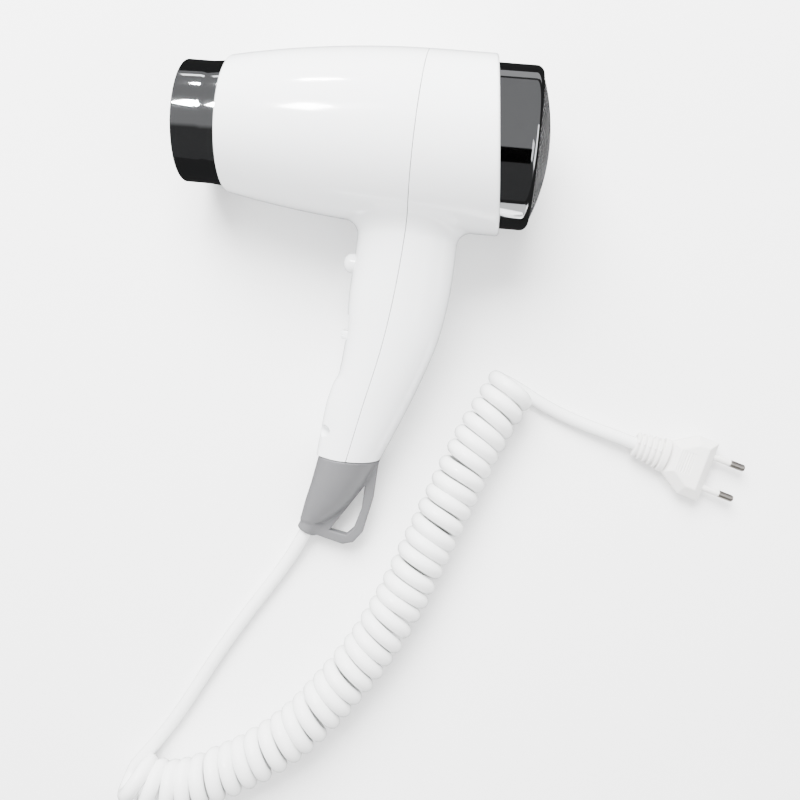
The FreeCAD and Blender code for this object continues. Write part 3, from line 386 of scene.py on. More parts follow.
def finish_all():
    """The material of every slot."""
    made = {
        "shell_white": plastic("shell_white", 0.13, 900, 25, 0.01, coat=0.4),
        "button_white": plastic("button_white", 0.16, 900, 40, 0.01, coat=0.3),
        "cap_grey": plastic("cap_grey", 0.42, 2600, 60, 0.05, (0.125, 0.125, 0.13)),
        "cord_white": plastic("cord_white", 0.2, 1200, 40, 0.02),
        "plug_white": plastic("plug_white", 0.4, 1500, 50, 0.03),
        "pin_sleeve": plastic("pin_sleeve", 0.45, 1500, 50, 0.03),
        "fan_plastic": plastic("fan_plastic", 0.3, 1500, 50, 0.1),
        "duct_heatproof": plastic("duct_heatproof", 0.55, 1500, 50, 0.1),
        "filter_foam": plastic("filter_foam", 0.9, 500, 400, 0.6),
        "motor_nylon": plastic("motor_nylon", 0.5, 1500, 50, 0.06),
        "mica_board": plastic("mica_board", 0.5, 700, 120, 0.25),
        "component_black": plastic("component_black", 0.5, 1500, 50, 0.1),
        "component_yellow": plastic("component_yellow", 0.3, 1500, 50, 0.06),
        "board_brown": plastic("board_brown", 0.5, 1500, 90, 0.15),
        "clamp_nylon": plastic("clamp_nylon", 0.5, 1500, 50, 0.05),
        "wire_insulation": plastic("wire_insulation", 0.5, 1500, 50, 0.05),
        "ring_chrome": metal("ring_chrome", 0.05, 900),
        "cap_chrome": metal("cap_chrome", 0.05, 900),
        "pin_nickel": metal("pin_nickel", 0.34, 2500, (0.78, 0.73, 0.68)),
        "motor_steel": metal("motor_steel", 0.35, 2500),
        "spring_steel": metal("spring_steel", 0.25, 2500),
        "screw_steel": metal("screw_steel", 0.3, 2500),
        "heating_wire": metal("heating_wire", 0.4, 2500),
        "copper_winding": metal("copper_winding", 0.3, 2500),
        "grille_metal": plastic("grille_metal", 0.35, 1500, 50, 0.1),
        "mesh_steel": metal("mesh_steel", 0.25, 2500),
    }
    for entry in record["subparts"]:
        carried = frame["nodes"][entry["node"]]
        carried.data.materials.clear()
        carried.data.materials.append(made[entry["material_slot"]])
    return made


MATERIALS = finish_all()

# ---------------------------------------------------------------- camera
def camera():
    """Straight down on the table, from above the handle."""
    lens = bpy.data.cameras.new("camera")
    lens.lens = 42.3
    lens.sensor_width = 36
    eye = bpy.data.objects.new("camera", lens)
    eye.location = (0.03314, -0.04953, 0.545)
    eye.rotation_euler = (0, 0, math.radians(5.9))
    bpy.context.scene.collection.objects.link(eye)
    bpy.context.scene.camera = eye


camera()

# ---------------------------------------------------------------- cord and plug
# the cord's exit from the end cap, on the dryer's own axes, and how far it leans from the handle
CORD_EXIT = (-39.5, 0, -220.3)
CORD_LEAN = math.radians(23.2)
# in metres: the cord from the handle to the curl, the curl's centre line, and the cord on to the plug
LEAD_ROUTE = [
    (-0.0177, -0.1417, 0.0049),
    (-0.028, -0.1595, 0.00375),
    (-0.042, -0.1815, 0.00375),
    (-0.0565, -0.2065, 0.00375),
    (-0.0675, -0.2285, 0.00375),
    (-0.0793, -0.25, 0.0039),
    (-0.0895, -0.2645, 0.0043),
]
CURL_ROUTE = [
    (-0.106, -0.269, 0.015),
    (-0.091, -0.279, 0.015),
    (-0.068, -0.2805, 0.015),
    (-0.0445, -0.2686, 0.015),
    (-0.023, -0.2555, 0.015),
    (-0.003, -0.238, 0.015),
    (0.015, -0.2145, 0.015),
    (0.0305, -0.1915, 0.015),
    (0.0445, -0.1635, 0.015),
    (0.0576, -0.1275, 0.015),
    (0.07, -0.093, 0.015),
    (0.082, -0.0605, 0.015),
    (0.098, -0.0305, 0.015),
]
TAIL_ROUTE = [
    (0.1035, -0.0378, 0.0043),
    (0.1125, -0.0426, 0.004),
    (0.125, -0.048, 0.00385),
    (0.1405, -0.053, 0.0044),
    (0.1552, -0.0568, 0.0061),
]
CORD_RADIUS = 0.00375
CURL_CORD_RADIUS = 0.0043
HELIX_RADIUS = 0.0107
CURL_TURNS = 37
POINTS_PER_TURN = 20
CURL_START = 0.012
CURL_END = 0.004
START_PHASE = math.radians(-85)
END_PHASE = math.radians(-90)


def spline_curve(name, points, radii=None):
    """One open NURBS spline, as a round tube if it has a radius at each point."""
    curve = bpy.data.curves.new(name, "CURVE")
    curve.dimensions = "3D"
    spline = curve.splines.new("NURBS")
    spline.points.add(len(points) - 1)
    for spot, point, radius in zip(spline.points, points, radii or [0] * len(points)):
        spot.co = (*point, 1)
        spot.radius = radius
    spline.order_u = 3
    spline.use_endpoint_u = True
    curve.bevel_depth = 1.0 if radii else 0.0
    curve.bevel_resolution = 5
    curve.resolution_u = 4
    curve.use_fill_caps = True
    return curve


def spline_points(points, steps=24):
    """Points along a route's NURBS spline."""
    curve = spline_curve("route", points)
    curve.resolution_u = steps
    holder = bpy.data.objects.new("route", curve)
    mesh = bpy.data.meshes.new_from_object(holder)
    found = [Vector(vertex.co) for vertex in mesh.vertices]
    bpy.data.objects.remove(holder)
    bpy.data.curves.remove(curve)
    bpy.data.meshes.remove(mesh)
    return found


def along(points, distance, lengths):
    """The point and the heading at a distance along a line of points."""
    index = int(np.clip(np.searchsorted(lengths, distance) - 1, 0, len(points) - 2))
    share = (distance - lengths[index]) / (lengths[index + 1] - lengths[index])
    here = points[index].lerp(points[index + 1], share)
    low, high = max(index - 6, 0), min(index + 7, len(points) - 1)
    return here, (points[high] - points[low]).normalized()


def curl_points():
    """The turns of the curly stretch, a little uneven; the cord comes in and goes out underneath."""
    line = spline_points(CURL_ROUTE)
    steps = [0.0] + [(b - a).length for a, b in zip(line, line[1:])]
    lengths = np.cumsum(steps)
    start, end = CURL_START, lengths[-1] - CURL_END
    sweep = END_PHASE - START_PHASE - 2 * math.pi * CURL_TURNS
    count = CURL_TURNS * POINTS_PER_TURN
    spots = []
    for index in range(count + 1):
        share = index / count
        phase = START_PHASE + sweep * share
        turn = phase / (2 * math.pi)
        uneven = 0.0004 * math.sin(turn * 1.7) + 0.0002 * math.sin(turn * 4.1 + 1)
        centre, heading = along(line, start + (end - start) * share + uneven, lengths)
        left = Vector((-heading.y, heading.x, 0)).normalized()
        radius = HELIX_RADIUS - 0.0001 * (1 + math.sin(turn * 2.3))
        lean = 0.0005 * math.sin(phase + 0.8 * math.sin(turn * 0.9))
        height = radius * math.sin(phase) - (HELIX_RADIUS - radius)
        spots.append(centre + left * radius * math.cos(phase) + Vector((0, 0, height)) + heading * lean)
    return spots


def mains_cord():
    """The whole cord as one spline: lead, curl and tail, from inside the handle's exit to inside the plug."""
    exit_point = LYING @ Vector(CORD_EXIT)
    boot_end = plug_place(-44.6)
    curl = curl_points()
    points = [exit_point, *LEAD_ROUTE, *curl, *TAIL_ROUTE, boot_end]
    thin, thick = [CORD_RADIUS], [CURL_CORD_RADIUS]
    radii = thin * (1 + len(LEAD_ROUTE)) + thick * len(curl) + thin * (1 + len(TAIL_ROUTE))
    curve = spline_curve("mains_cord", points, radii)
    stands_for = ("cord_lead", "cord_curl", "cord_tail")
    return new_object("mains_cord", curve, "housing", "cord_white", *stands_for), exit_point


PLUG_ANGLE = math.radians(-15.3)
PLUG_FRONT = (0.2127, -0.0725, 0.00685)
PLUG = Matrix.Translation(PLUG_FRONT) @ Matrix.Rotation(PLUG_ANGLE, 4, "Z") @ Matrix.Scale(MM, 4)


def plug_place(x, y=0, z=0):
    """A point in the plug's own axes, in millimetres, x forward of its front face."""
    return PLUG @ Vector((x, y, z))


cord_piece, cord_exit = mains_cord()

# ---------------------------------------------------------------- housing
# sections of the handle: height, centre, half depth and half width
HANDLE_SECTIONS = [
    (-30, 2.8, 27, 20.6),
    (-60, 2.8, 27, 20.6),
    (-82, 1.4, 27.2, 20.3),
    (-108, -0.9, 25, 19.5),
    (-127, -5, 23, 18.6),
    (-146, -10.8, 21.7, 17.6),
    (-160, -14.5, 19.6, 17),
    (-174.4, -18.3, 17.3, 16.4),
]
# the parting line: height and place along the barrel
SEAM = [(50, 6.8), (0, 5.2), (-45, 3.4), (-78, 0.6), (-110, -4.2), (-143, -11.7), (-178, -19.2)]
MOUTH_X = -97.5
SHOULDER_X = -94.5
MOUTH_RADIUS = 33.8
SHOULDER_RADIUS = 36
CROWN_RADIUS = 561
CROWN_END = 8
BARREL_RADIUS = 46.2
REAR_X = 46.7
REAR_SLOPE = math.tan(math.radians(5.8))
REAR_ROUND = 1.8
HANDLE_END = -174.4
NECK_FILLET = 7
SEAM_GAP = 0.3
BUTTON_Z = -67.5
BUTTON_RADIUS = 5.3
KNOB_Z = -106.4
RECESS_Z = -102.3
RECESS_HALVES = (7.1, 6.6, 7.1)
PANEL_TOP = -131
SCREW_Y = 8
SCREW_Z = -160

handle_at = section_curves(HANDLE_SECTIONS)
seam_at = section_curves(SEAM)


def arc_centre(x1, y1, x2, y2, radius):
    """The centre of an arc that bulges upward between two points."""
    dx, dy = x2 - x1, y2 - y1
    length = math.hypot(dx, dy)
    rise = math.sqrt(radius**2 - length**2 / 4)
    return (x1 + x2) / 2 + dy / length * rise, (y1 + y2) / 2 - dx / length * rise


def barrel_radius(x):
    """The housing's radius along the barrel."""
    crown_x, crown_y = arc_centre(SHOULDER_X, SHOULDER_RADIUS, CROWN_END, BARREL_RADIUS, CROWN_RADIUS)
    front_x, front_y = arc_centre(MOUTH_X, MOUTH_RADIUS, SHOULDER_X, SHOULDER_RADIUS, SHOULDER_X - MOUTH_X)
    crown = crown_y + np.sqrt(np.maximum(CROWN_RADIUS**2 - (np.minimum(x, CROWN_END) - crown_x) ** 2, 0))
    front = front_y + np.sqrt(np.maximum((SHOULDER_X - MOUTH_X) ** 2 - (x - front_x) ** 2, 0.01))
    return np.where(x < SHOULDER_X, np.minimum(front, crown), crown)


def front_details(x, y, z, handle):
    """The handle's front: raised lower panel with a ridge, switch recess, button hole and screw recesses."""
    lower = 1 / (1 + np.exp((z - PANEL_TOP) / 1.1))
    ridge = np.exp(-((y / 10.5) ** 6))
    centre = handle_at(1, z)
    front = centre - handle_at(2, z)
    facing = np.clip((centre - x) / handle_at(2, z) * 2 - 0.9, 0, 1)
    panel_rise = 1.5
    handle = handle - panel_rise * lower * ridge * facing
    flat = front + 0.35 - panel_rise * lower - x
    handle = np.where(z < -126, round_cut(handle, flat, 0.4), handle)
    recess = box_field((x + 31.4, y, z - RECESS_Z), RECESS_HALVES, 0.8)
    handle = round_cut(handle, -recess, 0.5)
    hole = np.hypot(y, z - BUTTON_Z) - BUTTON_RADIUS - 0.3
    handle = round_cut(handle, -np.maximum(hole, x + 19), 0.35)
    for side in (-1, 1):
        bore = np.hypot(y - side * SCREW_Y, z - SCREW_Z) - 3.1
        handle = round_cut(handle, -np.maximum(bore, x + 24.5), 0.5)
    return handle


def housing_field(x, y, z):
    """Distance to the closed housing, without its cut ends."""
    barrel = np.hypot(y, z) - barrel_radius(x)
    handle = ellipse_field(x - handle_at(1, z), y, handle_at(2, z), handle_at(3, z))
    handle = front_details(x, y, z, handle)
    handle = np.maximum(handle, z + 5)
    return round_join(barrel, handle, NECK_FILLET)


def rim(mesh_points, faces, edges_out, steps, depth):
    """Rounds a mesh's open edge inward: rings of points along each boundary loop.

    edges_out gives, for each boundary vertex, (way out along the surface, normal, radius).
    """
    points = [Vector(point) for point in mesh_points]
    faces = [list(face) for face in faces]
    count = {}
    for face in faces:
        for a, b in zip(face, face[1:] + face[:1]):
            count[(a, b)] = count.get((a, b), 0) + 1
    border = [(a, b) for (a, b) in count if (b, a) not in count]
    levels = {}
    for vertex in {a for edge in border for a in edge}:
        out, normal, radius = edges_out(vertex)
        ring = [vertex]
        for step in range(1, steps + 1):
            angle = math.pi / 2 * step / steps
            shift = out * (radius * math.sin(angle)) - normal * (radius * (1 - math.cos(angle)))
            ring.append(len(points))
            points.append(points[vertex] + shift)
        ring.append(len(points))
        points.append(points[vertex] + out * radius - normal * depth)
        levels[vertex] = ring
    for a, b in border:
        for low, high in zip(range(steps + 1), range(1, steps + 2)):
            faces.append([levels[b][low], levels[a][low], levels[a][high], levels[b][high]])
    return points, faces


def housing_half(name, node_name, front):
    """One half of the housing, from the parting line to the mouth or to the slanted rear."""
    seam_round, end_round, mouth_round = 0.3, 0.4, 0.5
    side = -1 if front else 1

    def seam_x(z):
        return seam_at(1, z) + side * (SEAM_GAP / 2 + seam_round)

    def far_x(z):
        return MOUTH_X + mouth_round + 0 * z if front else REAR_X - REAR_SLOPE * z - REAR_ROUND

    def space(t, z):
        return seam_x(z) + (far_x(z) - seam_x(z)) * t / 100

    def warped(t, y, z):
        return housing_field(space(t, z), y, z)

    cells = 84 if front else 36
    width = 100 / cells
    along_lines = (np.arange(cells + 2) - 0.5) * width
    if front:
        near_mouth = grid_lines(along_lines[-4], 100 + width / 4, width / 3)
        along_lines = np.concatenate([along_lines[:-4], near_mouth])
        cells = len(along_lines) - 2
        half_cell = (along_lines[-1] - along_lines[-2]) / 2
        along_lines[-1] = 100 + half_cell
        along_lines[-2] = 100 - half_cell
    fine_y = [(-11.6, 11.6)] if front else []
    fine_z = [(-165, -155.5), (-135, -127), (-110.5, -91.5), (-74.5, -60.5)] if front else []
    across = grid_lines(-48.1, 48.1, 1.4, fine_y, 0.55)
    low = HANDLE_END + end_round
    up = grid_lines(low + 0.6, 48.2, 1.4, fine_z, 0.55)
    up = np.concatenate([[low - 0.6], up])
    pins = ({0: 0.0, cells: 100.0}, {}, {0: low})
    spots, quads = surface_net(warped, (along_lines, across, up), pins)
    flat = spots.copy()
    flat[:, 0] = space(spots[:, 0], spots[:, 2])
    normals = field_slope(housing_field, flat)
    normals /= np.linalg.norm(normals, axis=1)[:, None]
    if not front:
        quads = quads[:, ::-1]

    def edges_out(vertex):
        t, _, z = spots[vertex]
        normal = Vector(normals[vertex])
        cut = Vector((0, 0, 0))
        radius = seam_round
        if t < 0.01:
            slope = float(seam_x(z + 0.5) - seam_x(z - 0.5))
            cut += Vector((-side, 0, side * slope)).normalized()
        if t > 99.99:
            cut += Vector((-1, 0, 0)) if front else Vector((1, 0, REAR_SLOPE)).normalized()
            radius = mouth_round if front else REAR_ROUND
        if abs(z - low) < 0.01:
            cut += Vector((0, 0, -1))
            radius = end_round
        out = cut - normal * cut.dot(normal)
        return out.normalized(), normal, radius

    points, faces = rim(flat.tolist(), quads.tolist(), edges_out, 5, 2.4)
    mesh = mesh_from(name, points, faces, LYING)
    smooth = [tuple(vertex.normal) for vertex in mesh.vertices]
    for index, normal in enumerate(normals @ np.array(TURN).T):
        smooth[index] = tuple(normal)
    mesh.normals_split_custom_set_from_vertices(smooth)
    new_object(name, mesh, "housing", "shell_white", node_name)


# ---------------------------------------------------------------- nozzle and inlet
def nozzle():
    """The bright ring with rounded lips."""
    outline = rounded(
        [
            (-120.5, 30.2, 0.75),
            (-120.5, 31.8, 0.75),
            (-106, 31.8, 30),
            (-97.5, 32.65, 0),
            (-90.5, 32.65, 0.3),
            (-90.5, 31.1, 0.3),
            (-97.5, 31.1, 0),
            (-106, 30.2, 0),
        ]
    )
    mesh = turned("nozzle_ring_bright", outline, LYING, 192)
    new_object("nozzle_ring_bright", mesh, "housing", "ring_chrome", "nozzle_ring")


def grille():
    """Rings and spokes across the outlet, with rounded bars."""
    shape = bmesh.new()
    bar, start = 1.6, -104.0
    back = start + 3.0
    outer = 30.1
    spokes = 8
    pieces = []
    for radius in (outer, outer * 0.62, outer * 0.28):
        inside = radius - bar
        outline = [(start, inside, 0.4), (start, radius, 0.4), (back, radius, 0.4), (back, inside, 0.4)]
        outline = rounded(outline, 3)
        pieces.append(turned("ring", outline, LYING, 96))
    for index in range(spokes):
        spin = Matrix.Rotation(2 * math.pi * index / spokes, 4, "X")
        low, high = outer * 0.28 - bar / 2, outer - bar / 2
        side = bar / 2
        profile = [(start, -side, 0.35), (back, -side, 0.35), (back, side, 0.35), (start, side, 0.35)]
        profile = rounded(profile, 3)
        ends = [(x, y, low) for x, y in profile] + [(x, y, high) for x, y in profile]
        count = len(profile)
        faces = [(i, (i + 1) % count, count + (i + 1) % count, count + i) for i in range(count)]
        pieces.append(mesh_from("spoke", ends, faces, LYING @ spin))
    for piece in pieces:
        shape.from_mesh(piece)
    mesh = bpy.data.meshes.new("outlet_grille_bars")
    bmesh.ops.recalc_face_normals(shape, faces=shape.faces)
    shape.to_mesh(mesh)
    shape.free()
    new_object("outlet_grille_bars", mesh, "housing", "grille_metal", "outlet_grille")


def inlet():
    """The bright cap with its rounded rim."""
    outline = rounded(
        [
            (38, 40.2, 0),
            (38, 42, 0),
            (66.05, 42, 4.3),
            (66.05, 37.5, 0.5),
            (63.5, 37.5, 0),
            (63.5, 40.2, 0),
        ],
        12,
    )
    mesh = turned("inlet_cap_bright", outline, LYING, 224)
    new_object("inlet_cap_bright", mesh, "housing", "cap_chrome", "inlet_cap")


def woven_dome():
    """The domed inlet mesh: round wires woven over and under each other, on a dark backing sheet."""
    bow_radius = 101
    centre = 73.3 - bow_radius
    pitch = 1.55
    wire = 0.36
    radius = 36.9
    count = int(radius / pitch)
    sides = 6
    points, faces = [], []
    for crossing in (0, 1):
        for line in range(-count, count + 1):
            offset = (line + 0.5) * pitch
            if abs(offset) > radius - 0.4:
                continue
            reach = math.sqrt(radius**2 - offset**2)
            steps = max(int(2 * reach / (pitch / 4)), 4)
            base = len(points)
            for step in range(steps + 1):
                run = -reach + 2 * reach * step / steps
                wave = math.cos(math.pi * (run / pitch + 0.5 + line + crossing)) * wire * 0.62
                wobble = 0.16 * math.sin(run * 0.9 + line * 1.7 + crossing)
                y, z = (run, offset + wobble) if crossing else (offset + wobble, run)
                dome = bow_radius - 0.75 + wave
                x = centre + math.sqrt(dome**2 - y * y - z * z)
                outward = Vector((x - centre, y, z)).normalized()
                way = Vector((0, 1, 0)) if crossing else Vector((0, 0, 1))
                way = (way - outward * way.dot(outward)).normalized()
                across = way.cross(outward)
                for turn in range(sides):
                    angle = 2 * math.pi * turn / sides
                    round_wire = outward * math.cos(angle) + across * math.sin(angle)
                    points.append(Vector((x, y, z)) + round_wire * wire)
            for step in range(steps):
                for turn in range(sides):
                    after = (turn + 1) % sides
                    low, high = base + step * sides, base + (step + 1) * sides
                    faces.append((low + turn, high + turn, high + after, low + after))
    mesh = mesh_from("inlet_mesh_wires", points, faces, LYING)
    new_object("inlet_mesh_wires", mesh, "housing", "mesh_steel", "inlet_mesh")
    edge = math.sqrt(100.2**2 - radius**2) + centre
    bow = [(centre + math.sqrt(99.6**2 - r * r), r) for r in np.linspace(0, radius, 24)]
    back = [(x - 0.5, r) for x, r in reversed(bow)]
    outline = bow + [(edge - 3.5, radius + 0.2), (edge - 3.5, radius - 0.5)] + back[1:]
    backing = turned("inlet_mesh_backing", outline, LYING, 96)
    new_object("inlet_mesh_backing", backing, "housing", "filter_foam")


# ---------------------------------------------------------------- button, switch and screws
def button():
    """The domed push button on its flange and stem."""
    dome = []
    rise, radius = 3.6, BUTTON_RADIUS
    sphere = (radius**2 + rise**2) / (2 * rise)
    tip = -30.4
    for step in range(15):
        r = radius * math.sin(math.pi / 2 * step / 14)
        dome.append((tip + sphere - math.sqrt(sphere**2 - r * r), r))
    flange, stem_end = -18.8, -14.7
    tail = rounded(
        [
            (-20, 5.3, 0),
            (-20, 6.6, 0.2),
            (flange, 6.6, 0.2),
            (flange, 2.2, 0.3),
            (stem_end, 2.2, 0.4),
            (stem_end, 0.2, 0),
        ]
    )
    place = LYING @ Matrix.Translation((0, 0, BUTTON_Z))
    mesh = turned("push_button_dome", dome + [tuple(point) for point in tail] + [(stem_end, 0)], place, 96)
    new_object("push_button_dome", mesh, "button", "button_white", "push_button")


def squeezed_spring():
    """The button's spring: a copy of the CAD coil, riding on the housing."""
    coil = frame["nodes"]["button_spring"]
    mesh = coil.data.copy()
    mesh.transform(coil.matrix_world)
    spring = new_object("button_spring_coil", mesh, "housing", "spring_steel", "button_spring")
    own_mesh(spring)


def knob_field(x, y, z):
    """The slide switch's finger piece: rounded, on a neck and a plate."""
    finger = box_field((x + 26.05, y, z), (2.25, 3.5, 2.3), 1.1)
    neck = box_field((x + 22.4, y, z), (2.1, 2.2, 1.6), 0.3)
    plate = box_field((x + 20.6, y, z), (0.6, 5.5, 7), 0.3)
    grooves = 0.28 * np.cos(z * 2 * math.pi / 1.3) * (x < -26.5) * (np.abs(z) < 1.7)
    return np.minimum(np.minimum(finger + np.maximum(grooves, 0), neck), plate)


def knob():
    """The slide switch's finger piece."""
    lines = (grid_lines(-29, -19.5, 0.3), grid_lines(-6.2, 6.2, 0.35), grid_lines(-7.6, 7.6, 0.35))
    spots, quads = surface_net(knob_field, lines)
    place = LYING @ Matrix.Translation((0, 0, KNOB_Z))
    mesh = mesh_from("slide_switch_finger", spots.tolist(), quads.tolist(), place)
    sharp_by_angle(mesh, 50)
    new_object("slide_switch_finger", mesh, "switch", "button_white", "slide_switch_knob")


def recessed_screws():
    """The housing screws, with plain rounded heads deep in their recesses."""
    shape = bmesh.new()
    for side in (-1, 1):
        place = LYING @ Matrix.Translation((0, side * SCREW_Y, SCREW_Z))
        head = [(-26.6, 0.01, 0), (-26.6, 2.8, 0.5), (-24.7, 2.8, 0)]
        thread = [(-24.7, 1.5, 0), (-10, 1.5, 0.2), (-10, 0.01, 0)]
        shape.from_mesh(turned("screw", rounded(head + thread), place, 48))
    mesh = bpy.data.meshes.new("housing_screw_heads")
    shape.to_mesh(mesh)
    shape.free()
    new_object("housing_screw_heads", mesh, "housing", "screw_steel", "housing_screws")


# ---------------------------------------------------------------- end cap
# sections of the end cap: height, centre, half depth and half width
CAP_SECTIONS = [
    (-174.8, -18.35, 17.25, 16.3),
    (-191, -23.9, 14.9, 13.4),
    (-205, -30.0, 12.0, 9.6),
    (-214, -36.0, 7.6, 6.4),
]
# outlines of the hanging loop and of the opening in it
CAP_LOOP = [
    (-1.8, -175.2),
    (-3.0, -197),
    (-7.2, -217),
    (-12.0, -223.6),
    (-18, -225.4),
    (-34, -221.6),
    (-38, -214),
    (-16, -178),
]
CAP_OPENING = [(-8.2, -190), (-8.9, -203), (-12.6, -215.5), (-16.5, -219.6), (-26.2, -218)]
cap_at = section_curves(CAP_SECTIONS)


def end_cap_field(x, y, z):
    """The tapering cap, the hanging loop and the cord's exit."""
    taper = ellipse_field(x - cap_at(1, z), y, cap_at(2, z), cap_at(3, z))
    taper = round_cut(round_cut(taper, z + 174.8, 0.5), -z - 214, 1)
    strip = polygon_field(x, z, CAP_LOOP)
    strip = round_cut(strip, np.abs(y) - 3, 0.9)
    body = round_join(taper, strip, 1.2)
    opening = polygon_field(x, z, CAP_OPENING)
    body = round_cut(body, -opening, 0.9)
    dx, dz = x - CORD_EXIT[0], z - CORD_EXIT[2]
    length = dx * math.sin(CORD_LEAN) + dz * math.cos(CORD_LEAN)
    beside = dx * math.cos(CORD_LEAN) - dz * math.sin(CORD_LEAN)
    sleeve = round_cut(np.hypot(beside, y) - 5.8, np.abs(length - 6) - 6, 0.5)
    body = round_join(body, sleeve, 1.5)
    bore = np.maximum(np.hypot(beside, y) - 3.95, length - 12)
    return round_cut(body, -bore, 0.3)


def end_cap():
    """The grey cap with its hanging loop."""
    lines = (grid_lines(-49, 1.5, 0.62), grid_lines(-17.6, 17.6, 0.62), grid_lines(-228, -173.6, 0.62))
    spots, quads = surface_net(end_cap_field, lines)
    mesh = mesh_from("end_cap_loop", spots.tolist(), quads.tolist(), LYING)
    sharp_by_angle(mesh, 60)
    new_object("end_cap_loop", mesh, "housing", "cap_grey", "end_cap")


# ---------------------------------------------------------------- plug
def plug_field(x, y, z):
    """The flat hexagonal plug with bevelled sides that narrow to the collar."""
    half = 17.65
    one_side = [(0, half), (-12.5, half), (-25.6, 9.3)]
    plan = polygon_field(x, y, one_side + [(back, -wide) for back, wide in reversed(one_side)])
    face = np.abs(z) - 6.85
    bevel = (plan + 5.3 + np.abs(z) - 6.85) * math.cos(math.radians(45))
    body = round_cut(round_cut(plan, face, 0.4), bevel, 0.5)
    grooves = np.abs(((x + 21.6) % 1.5) - 0.75) - 0.28
    patch = box_field((x + 15.9, y - 0.4, face), (4.9, 6.3, 0.35), 0.1)
    return round_cut(body, -np.maximum(grooves, patch), 0.15)


def plug():
    """The plug's body."""
    lines = (grid_lines(-26.4, 0.8, 0.4), grid_lines(-18.4, 18.4, 0.45), grid_lines(-7.5, 7.5, 0.3))
    spots, quads = surface_net(plug_field, lines)
    mesh = mesh_from("plug_shell", spots.tolist(), quads.tolist(), PLUG)
    sharp_by_angle(mesh, 50)
    new_object("plug_shell", mesh, "housing", "plug_white", "plug_body")


def boot_field(x, y, z):
    """The plug's strain relief: flange, five slotted ribs with small nubs, and a core."""
    share = np.clip((-25.5 - x) / 19.6, 0, 1)
    core = ellipse_field(y, z, 7.6 - 1.4 * share, 5.2 - 0.8 * share)
    core = np.maximum(core, np.abs(x + 35.3) - 9.8)
    flange = ellipse_field(y, z, 9.7, 6.55)
    body = np.minimum(core, round_cut(flange, np.abs(x + 27.4) - 1.9, 0.5))
    for index in range(5):
        middle = -32.05 - 3.2 * index + 0.85
        rib = ellipse_field(y, z, 9.0 - 0.45 * index, 6.3 - 0.3 * index)
        rib = round_cut(rib, np.abs(x - middle) - 0.85, 0.4)
        nub = np.sqrt((x - middle) ** 2 + (y - 1.2) ** 2 + (np.abs(z) - 6.0 + 0.3 * index) ** 2) - 0.8
        body = np.minimum(body, np.minimum(rib, nub))
    return np.maximum(body, 3.72 - np.hypot(y, z) - 50 * (x > -43))


def boot():
    """The plug's strain relief."""
    lines = (grid_lines(-46, -24.8, 0.3), grid_lines(-10.2, 10.2, 0.4), grid_lines(-7.2, 7.2, 0.4))
    spots, quads = surface_net(boot_field, lines)
    mesh = mesh_from("plug_boot_ribs", spots.tolist(), quads.tolist(), PLUG)
    sharp_by_angle(mesh, 50)
    new_object("plug_boot_ribs", mesh, "housing", "plug_white", "plug_boot")


def pins():
    """Round pins with domed ends, each in its sleeve."""
    metal_shape, sleeve_shape = bmesh.new(), bmesh.new()
    for side in (-1, 1):
        place = PLUG @ Matrix.Translation((0, side * 9.3, 0))
        tip = [(17.2 + 1.8 * math.sin(a), 0.2 + 1.8 * math.cos(a)) for a in np.linspace(0, math.pi / 2, 10)]
        shank = [(0, 0), (0, 1.5), (10, 1.5), (10, 1.85), (10.15, 2)]
        metal_shape.from_mesh(turned("pin", shank + tip + [(19, 0)], place, 48))
        sleeve = rounded([(-0.3, 1.52, 0), (-0.3, 1.9, 0), (9.95, 1.9, 0.15), (9.95, 1.52, 0)], 4)
        sleeve_shape.from_mesh(turned("sleeve", sleeve, place, 48))
    for shape, name, slot, cad in (
        (metal_shape, "plug_pin_metal", "pin_nickel", "plug_pins"),
        (sleeve_shape, "plug_pin_sleeves", "pin_sleeve", "pin_sleeves"),
    ):
        mesh = bpy.data.meshes.new(name)
        shape.to_mesh(mesh)
        shape.free()
        new_object(name, mesh, "housing", slot, cad)


housing_half("front_housing", "front_shell", True)
housing_half("rear_housing", "rear_shell", False)
nozzle()
grille()
inlet()
woven_dome()
button()
knob()
recessed_screws()
end_cap()
plug()
boot()
pins()
squeezed_spring()


# ---------------------------------------------------------------- floor and light
FLOOR_SHADE = 0.98
# near black that only glossy rays see on the floor: a painted dark reflection in the chrome
PAINTED_DARK_REFLECTION = 0.03
DAYLIGHT = 2.0
MIRRORED_BRIGHT = 0.34
MIRRORED_DARK = 0.07


def stage_mesh(name, width, depth, shade_material):
    """A flat rectangle that isn't part of the object."""
    mesh = bpy.data.meshes.new(name)
    x, y = width / 2, depth / 2
    mesh.from_pydata([(-x, -y, 0), (x, -y, 0), (x, y, 0), (-x, y, 0)], [], [(0, 1, 2, 3)])
    mesh.materials.append(shade_material)
    sheet = bpy.data.objects.new(name, mesh)
    bpy.context.scene.collection.objects.link(sheet)
    return sheet


def floor():
    """A plain pale table that glossy rays see as near black emission: a painted dark reflection in the bright
    metal, as a dark studio would give.
    """
    made = bpy.data.materials.new("floor")
    made.use_nodes = True
    tree = made.node_tree
    pale = tree.nodes["Principled BSDF"]
    pale.inputs["Base Color"].default_value = (FLOOR_SHADE, FLOOR_SHADE, FLOOR_SHADE, 1)
    pale.inputs["Roughness"].default_value = 0.9
    # painted dark reflection: the floor seen by glossy rays is near black emission instead of the pale surface
    dark = node(tree, "ShaderNodeEmission", Color=(PAINTED_DARK_REFLECTION, PAINTED_DARK_REFLECTION, PAINTED_DARK_REFLECTION, 1))
    ray = node(tree, "ShaderNodeLightPath")
    mix = node(tree, "ShaderNodeMixShader")
    tree.links.new(ray.outputs["Is Glossy Ray"], mix.inputs["Fac"])
    tree.links.new(pale.outputs["BSDF"], mix.inputs[1])
    tree.links.new(dark.outputs["Emission"], mix.inputs[2])
    tree.links.new(mix.outputs["Shader"], tree.nodes["Material Output"].inputs["Surface"])
    stage_mesh("floor", 6, 6, made)


